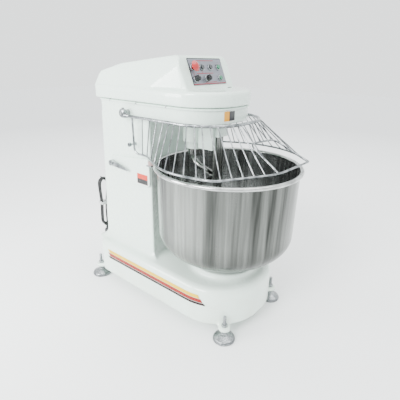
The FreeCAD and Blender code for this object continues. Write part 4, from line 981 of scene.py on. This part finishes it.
def make_feet(thread):
    """Levelling feet: a bright band at the floor, a groove, a domed cone, a collar and a threaded stud."""
    pad = [(0, 0), (52.5, 0), (54, 1.5), (54, 9), (52.8, 10.2), (49.6, 10.6), (49.2, 13), (51.8, 13.6),
           (50, 16.5), (38, 23.5), (24, 31), (15.6, 35), (15, 37), (15, 44)]
    stud = [(8.4, 44.6), (STUD_R, 46), (STUD_R, 132), (5.8, 134), (0, 134)]
    for name, x, y in FEET:
        mesh = mesh_from(name + "_turned", lambda bm: turned(bm, eased(pad + stud, 1.0), at(x, y, 0)), 30)
        fit(add_piece(name + "_turned", mesh), name, "zinc", name)
        fit(grown(name + "_thread", thread, {
            "Count": 22, "Pitch": 2 * MM, "Radius": STUD_R * MM, "Thickness": 0.8 * MM,
            "Place": at(x, y, THREAD_LOW)}), name, "zinc")


# ------ guard
WIRE_END = 0.006  # points this near an end of a wire, in metres, belong to that end
HUB_X, HUB_Y, HUB_Z = 238, 468, 1016


def wire_ends(node):
    """Both ends of every separate wire in a CAD node: the middles of the points round its two far ends."""
    bm = bmesh.new()
    bm.from_mesh(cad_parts[node].data)
    bmesh.ops.remove_doubles(bm, verts=bm.verts, dist=2e-6)
    left, ends = set(bm.verts), []
    while left:
        group, front = [], [left.pop()]
        while front:
            vert = front.pop()
            group.append(vert)
            fresh = {e.other_vert(vert) for e in vert.link_edges} & left
            left -= fresh
            front += fresh
        start = group[0].co
        far = max(group, key=lambda v: (v.co - start).length).co
        near = max(group, key=lambda v: (v.co - far).length).co
        along = (far - near).normalized()
        for end in (near, far):
            close = [v.co for v in group if abs((v.co - end).dot(along)) < WIRE_END]
            ends.append(sum(close, Vector()) / len(close))
    bm.free()
    return ends


def make_guard(welds):
    """Weld beads where the wires meet the rods, and the turned hubs that hold the rod's ends."""
    seeds = bpy.data.meshes.new("weld_places")
    seeds.from_pydata(wire_ends("guard_wires"), [], [])
    fit(grown("guard_welds", welds, {"Size": 3.6 * MM}, seeds), "guard", "chrome")
    hub = [(0, -13), (15, -13), (21, -9), (22, -4), (22, 4), (21, 9), (15, 13), (0, 13)]
    socket = [(0, -6), (14, -6), (13.5, 8), (11, 18), (8.6, 32), (7.6, 36), (0, 36)]
    screw = [(0, 0), (7.5, 0), (7.5, 4), (6.4, 5.4), (3, 5.4), (2.6, 3), (0, 3)]

    def build(bm):
        for side in (-1, 1):
            x = side * HUB_X
            turned(bm, eased(hub, 3), at(x, HUB_Y, HUB_Z), Vector((side, 0, 0)), 48)
            turned(bm, eased(socket, 3), at(x, HUB_Y - 12, HUB_Z - 9), Vector((0, -1, 0)), 40)
            turned(bm, eased(screw, 0.8), at(x, HUB_Y, HUB_Z + 21), UP, 32)
    fitted("guard_hubs", build, "guard", "chrome", "guard_clamps")


# ------ finishing the rest
# CAD nodes with rounded edges: by how many millimetres, on which body, in which finish.
EASED_NODES = [("side_covers", 3.0, "machine", "enamel"), ("side_lever", 1.6, "side_lever", "chrome"),
               ("side_pins", 1.0, "machine", "chrome"), ("spindle_housing", 3.0, "machine", "enamel"),
               ("breaker_bracket", 3.0, "machine", "enamel"), ("column_rear_cover", 0.7, "machine", "enamel"),
               ("roller_brackets", 1.2, "machine", "chrome"), ("fasteners", 0.8, "machine", "zinc"),
               ("guide_roller_left", 1.5, "guide_roller_left", "roller"),
               ("guide_roller_right", 1.5, "guide_roller_right", "roller")]
CAD_FINISHES = {
    "zinc": ["base_bottom_plate"],
    "trim": ["side_stripes"],
    "label": ["side_label"],
    "badge": ["head_badge"],
    "stainless": ["breaker_bar"],
    "tool": ["spiral_tool"],
    "chrome": ["guard_top_rod", "guard_lower_rod", "guard_feed_frame", "guard_wires"],
    "steel": ["bearings_and_bushes", "bowl_turntable", "bowl_shaft", "spindle", "guard_pivot_pins"],
    "cast_iron": ["bowl_pulley", "spindle_pulley", "bowl_motor_shaft_and_pulley",
                  "spiral_motor_shaft_and_pulley"],
    "motor_paint": ["bowl_motor", "spiral_motor"],
    "rubber": ["bowl_belt", "spiral_belt"],
    "black": ["contact_blocks", "switchgear"],
}


def make_louvres(slats):
    """The rear cover's louvres."""
    fit(grown("cover_louvres", slats, {
        "Count": 9, "Pitch": 16 * MM, "Length": 150 * MM, "Thickness": 3.2 * MM,
        "Place": at(60, 737.5, 360), "Turn": (REAR_LEAN, 0, 0)}), "machine", "enamel")


def finish_cad_nodes():
    """Gives every CAD part that stays in view, or inside the body, its own finish."""
    for finish, names in CAD_FINISHES.items():
        for name in names:
            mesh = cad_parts[name].data
            mesh.materials.clear()
            mesh.materials.append(FINISHES[finish])


# ------ floor and light
FLOOR_HALF = 14
# Soft light from far off: name, where it comes from, how wide it is in degrees, and how strong.
SUNS = [("window", (-2.6, 0.1, 1.7), 25, 4.0), ("ceiling", (0.1, -0.6, 3.0), 60, 2.5)]
# A near lamp on the left that lights the column's and the lid's left side.
SOFTBOX_PLACE, SOFTBOX_AIM = (-2.0, 1.15, 1.36), Vector((-0.2, 0.0, 1.2))
SOFTBOX_WATTS, SOFTBOX_SIZE = 70, 0.9


def add_lamp(name, kind, place, aim, power):
    """A lamp at place that points at aim."""
    lamp = bpy.data.lights.new(name, kind)
    lamp.energy = power
    holder = add_piece(name, lamp)
    holder.location = place
    holder.rotation_mode = "QUATERNION"
    holder.rotation_quaternion = (aim - Vector(place)).to_track_quat("-Z", "Y")
    return lamp


def make_floor():
    """A pale floor with a painted pool of light round the machine, greyer further out."""
    def build(bm):
        bmesh.ops.create_grid(bm, x_segments=2, y_segments=2, size=FLOOR_HALF)
    floor = add_piece("floor", mesh_from("floor", build))
    f = Finish("pale_floor", {"Specular IOR Level": 0.0})
    # Painted light: the floor greys from 1.3 m to 6 m out from its middle, as if lit less there.
    far = f.math("SQRT", f.x * f.x + f.y * f.y).rises(1.3, 6.0)
    near_tone = f.mix(f.noise(1.5, 2.0), tint("f0f2f2"), tint("f5f7f7"))
    f.feed("Base Color", f.mix(far, near_tone, tint("c8cacb")))
    f.feed("Roughness", 0.55 + 0.1 * f.noise(5.0))
    floor.data.materials.append(f.material)


def make_light():
    """Even light from all round, two wide suns and one near lamp."""
    world = bpy.data.worlds.new("soft_room")
    world.use_nodes = True
    background = world.node_tree.nodes["Background"]
    background.inputs["Color"].default_value = (0.97, 1.0, 1.0, 1)
    background.inputs["Strength"].default_value = 2.0
    bpy.context.scene.world = world
    for name, place, spread, power in SUNS:
        add_lamp(name, "SUN", place, Vector((0, 0, 0)), power).angle = math.radians(spread)
    add_lamp("side_softbox", "AREA", SOFTBOX_PLACE, SOFTBOX_AIM, SOFTBOX_WATTS).size = SOFTBOX_SIZE


# ------ everything in order
place_camera()
axis_point = at(0, 0, 0)
FINISHES = {
    "enamel": enamel(),
    # One steel sheet in two tones: the bowl's outside painted darker, with painted shade low down, and its
    # inside painted lighter, as painted light.
    "stainless": spun_steel("spun_steel", axis_point, "2e2f2d", "9a9d99", 0.3),
    "steel_inside_painted_lighter": spun_steel("spun_lining", axis_point, "787a78", "d2d4d4", 1.0),
    "tool": polished("tool_steel", "a9aba8", "5c5e5c", 0.16, 22.0),
    "rim": polished("rolled_rim_steel", "d9dbda", "8f918f", 0.12, 14.0),
    "chrome": polished("bright_chrome", "b4b8ba", "5c6063", 0.12, 30.0),
    "steel": polished("machined_steel", "9b9d9e", "6d6f71", 0.24, 40.0),
    "zinc": plated(),
    "panel": brushed_panel(),
    "trim": trim_bands(),
    "label": two_tone_label(),
    "badge": plain_badge(),
    "red": glossy("signal_red", "b80008", "8c0006"),
    "green": glossy("button_green", "12805a", "0a5c40"),
    "dark_lens": glossy("dark_button", "2a3036", "14181c"),
    "black": moulding("black_moulding", "101216", "26282d", 0.34, 500.0),
    "rubber": moulding("cord_rubber", "0a0b0d", "1e2023", 0.5, 700.0),
    "white": moulding("white_mark", "f2f2ee", "d8d8d2", 0.4, 500.0),
    "roller": moulding("roller_nylon", "a08a88", "b8a6a4", 0.4, 400.0),
    "tie": moulding("tie_strip", "b9bcbc", "d6d8d8", 0.6, 900.0, 0.4),
    "motor_paint": painted_iron("motor_paint", "51606c", "8a8f90"),
    "cast_iron": painted_iron("cast_iron", "4a4b4c", "7a7a78"),
}
cord = lay_cord()
plug = make_plug()
make_gland()
tie = make_tie()
make_body()
make_lid()
make_lid_slot()
make_bowl()
eased_copy("control_panel", 0.5, "machine", "panel")
make_bezels()
make_push_buttons()
make_knobs(rib_tree())
make_feet(thread_tree())
make_guard(weld_tree())
make_louvres(louvre_tree())
for node, width, body, finish in EASED_NODES:
    eased_copy(node, width, body, finish)
finish_cad_nodes()
make_floor()
make_light()
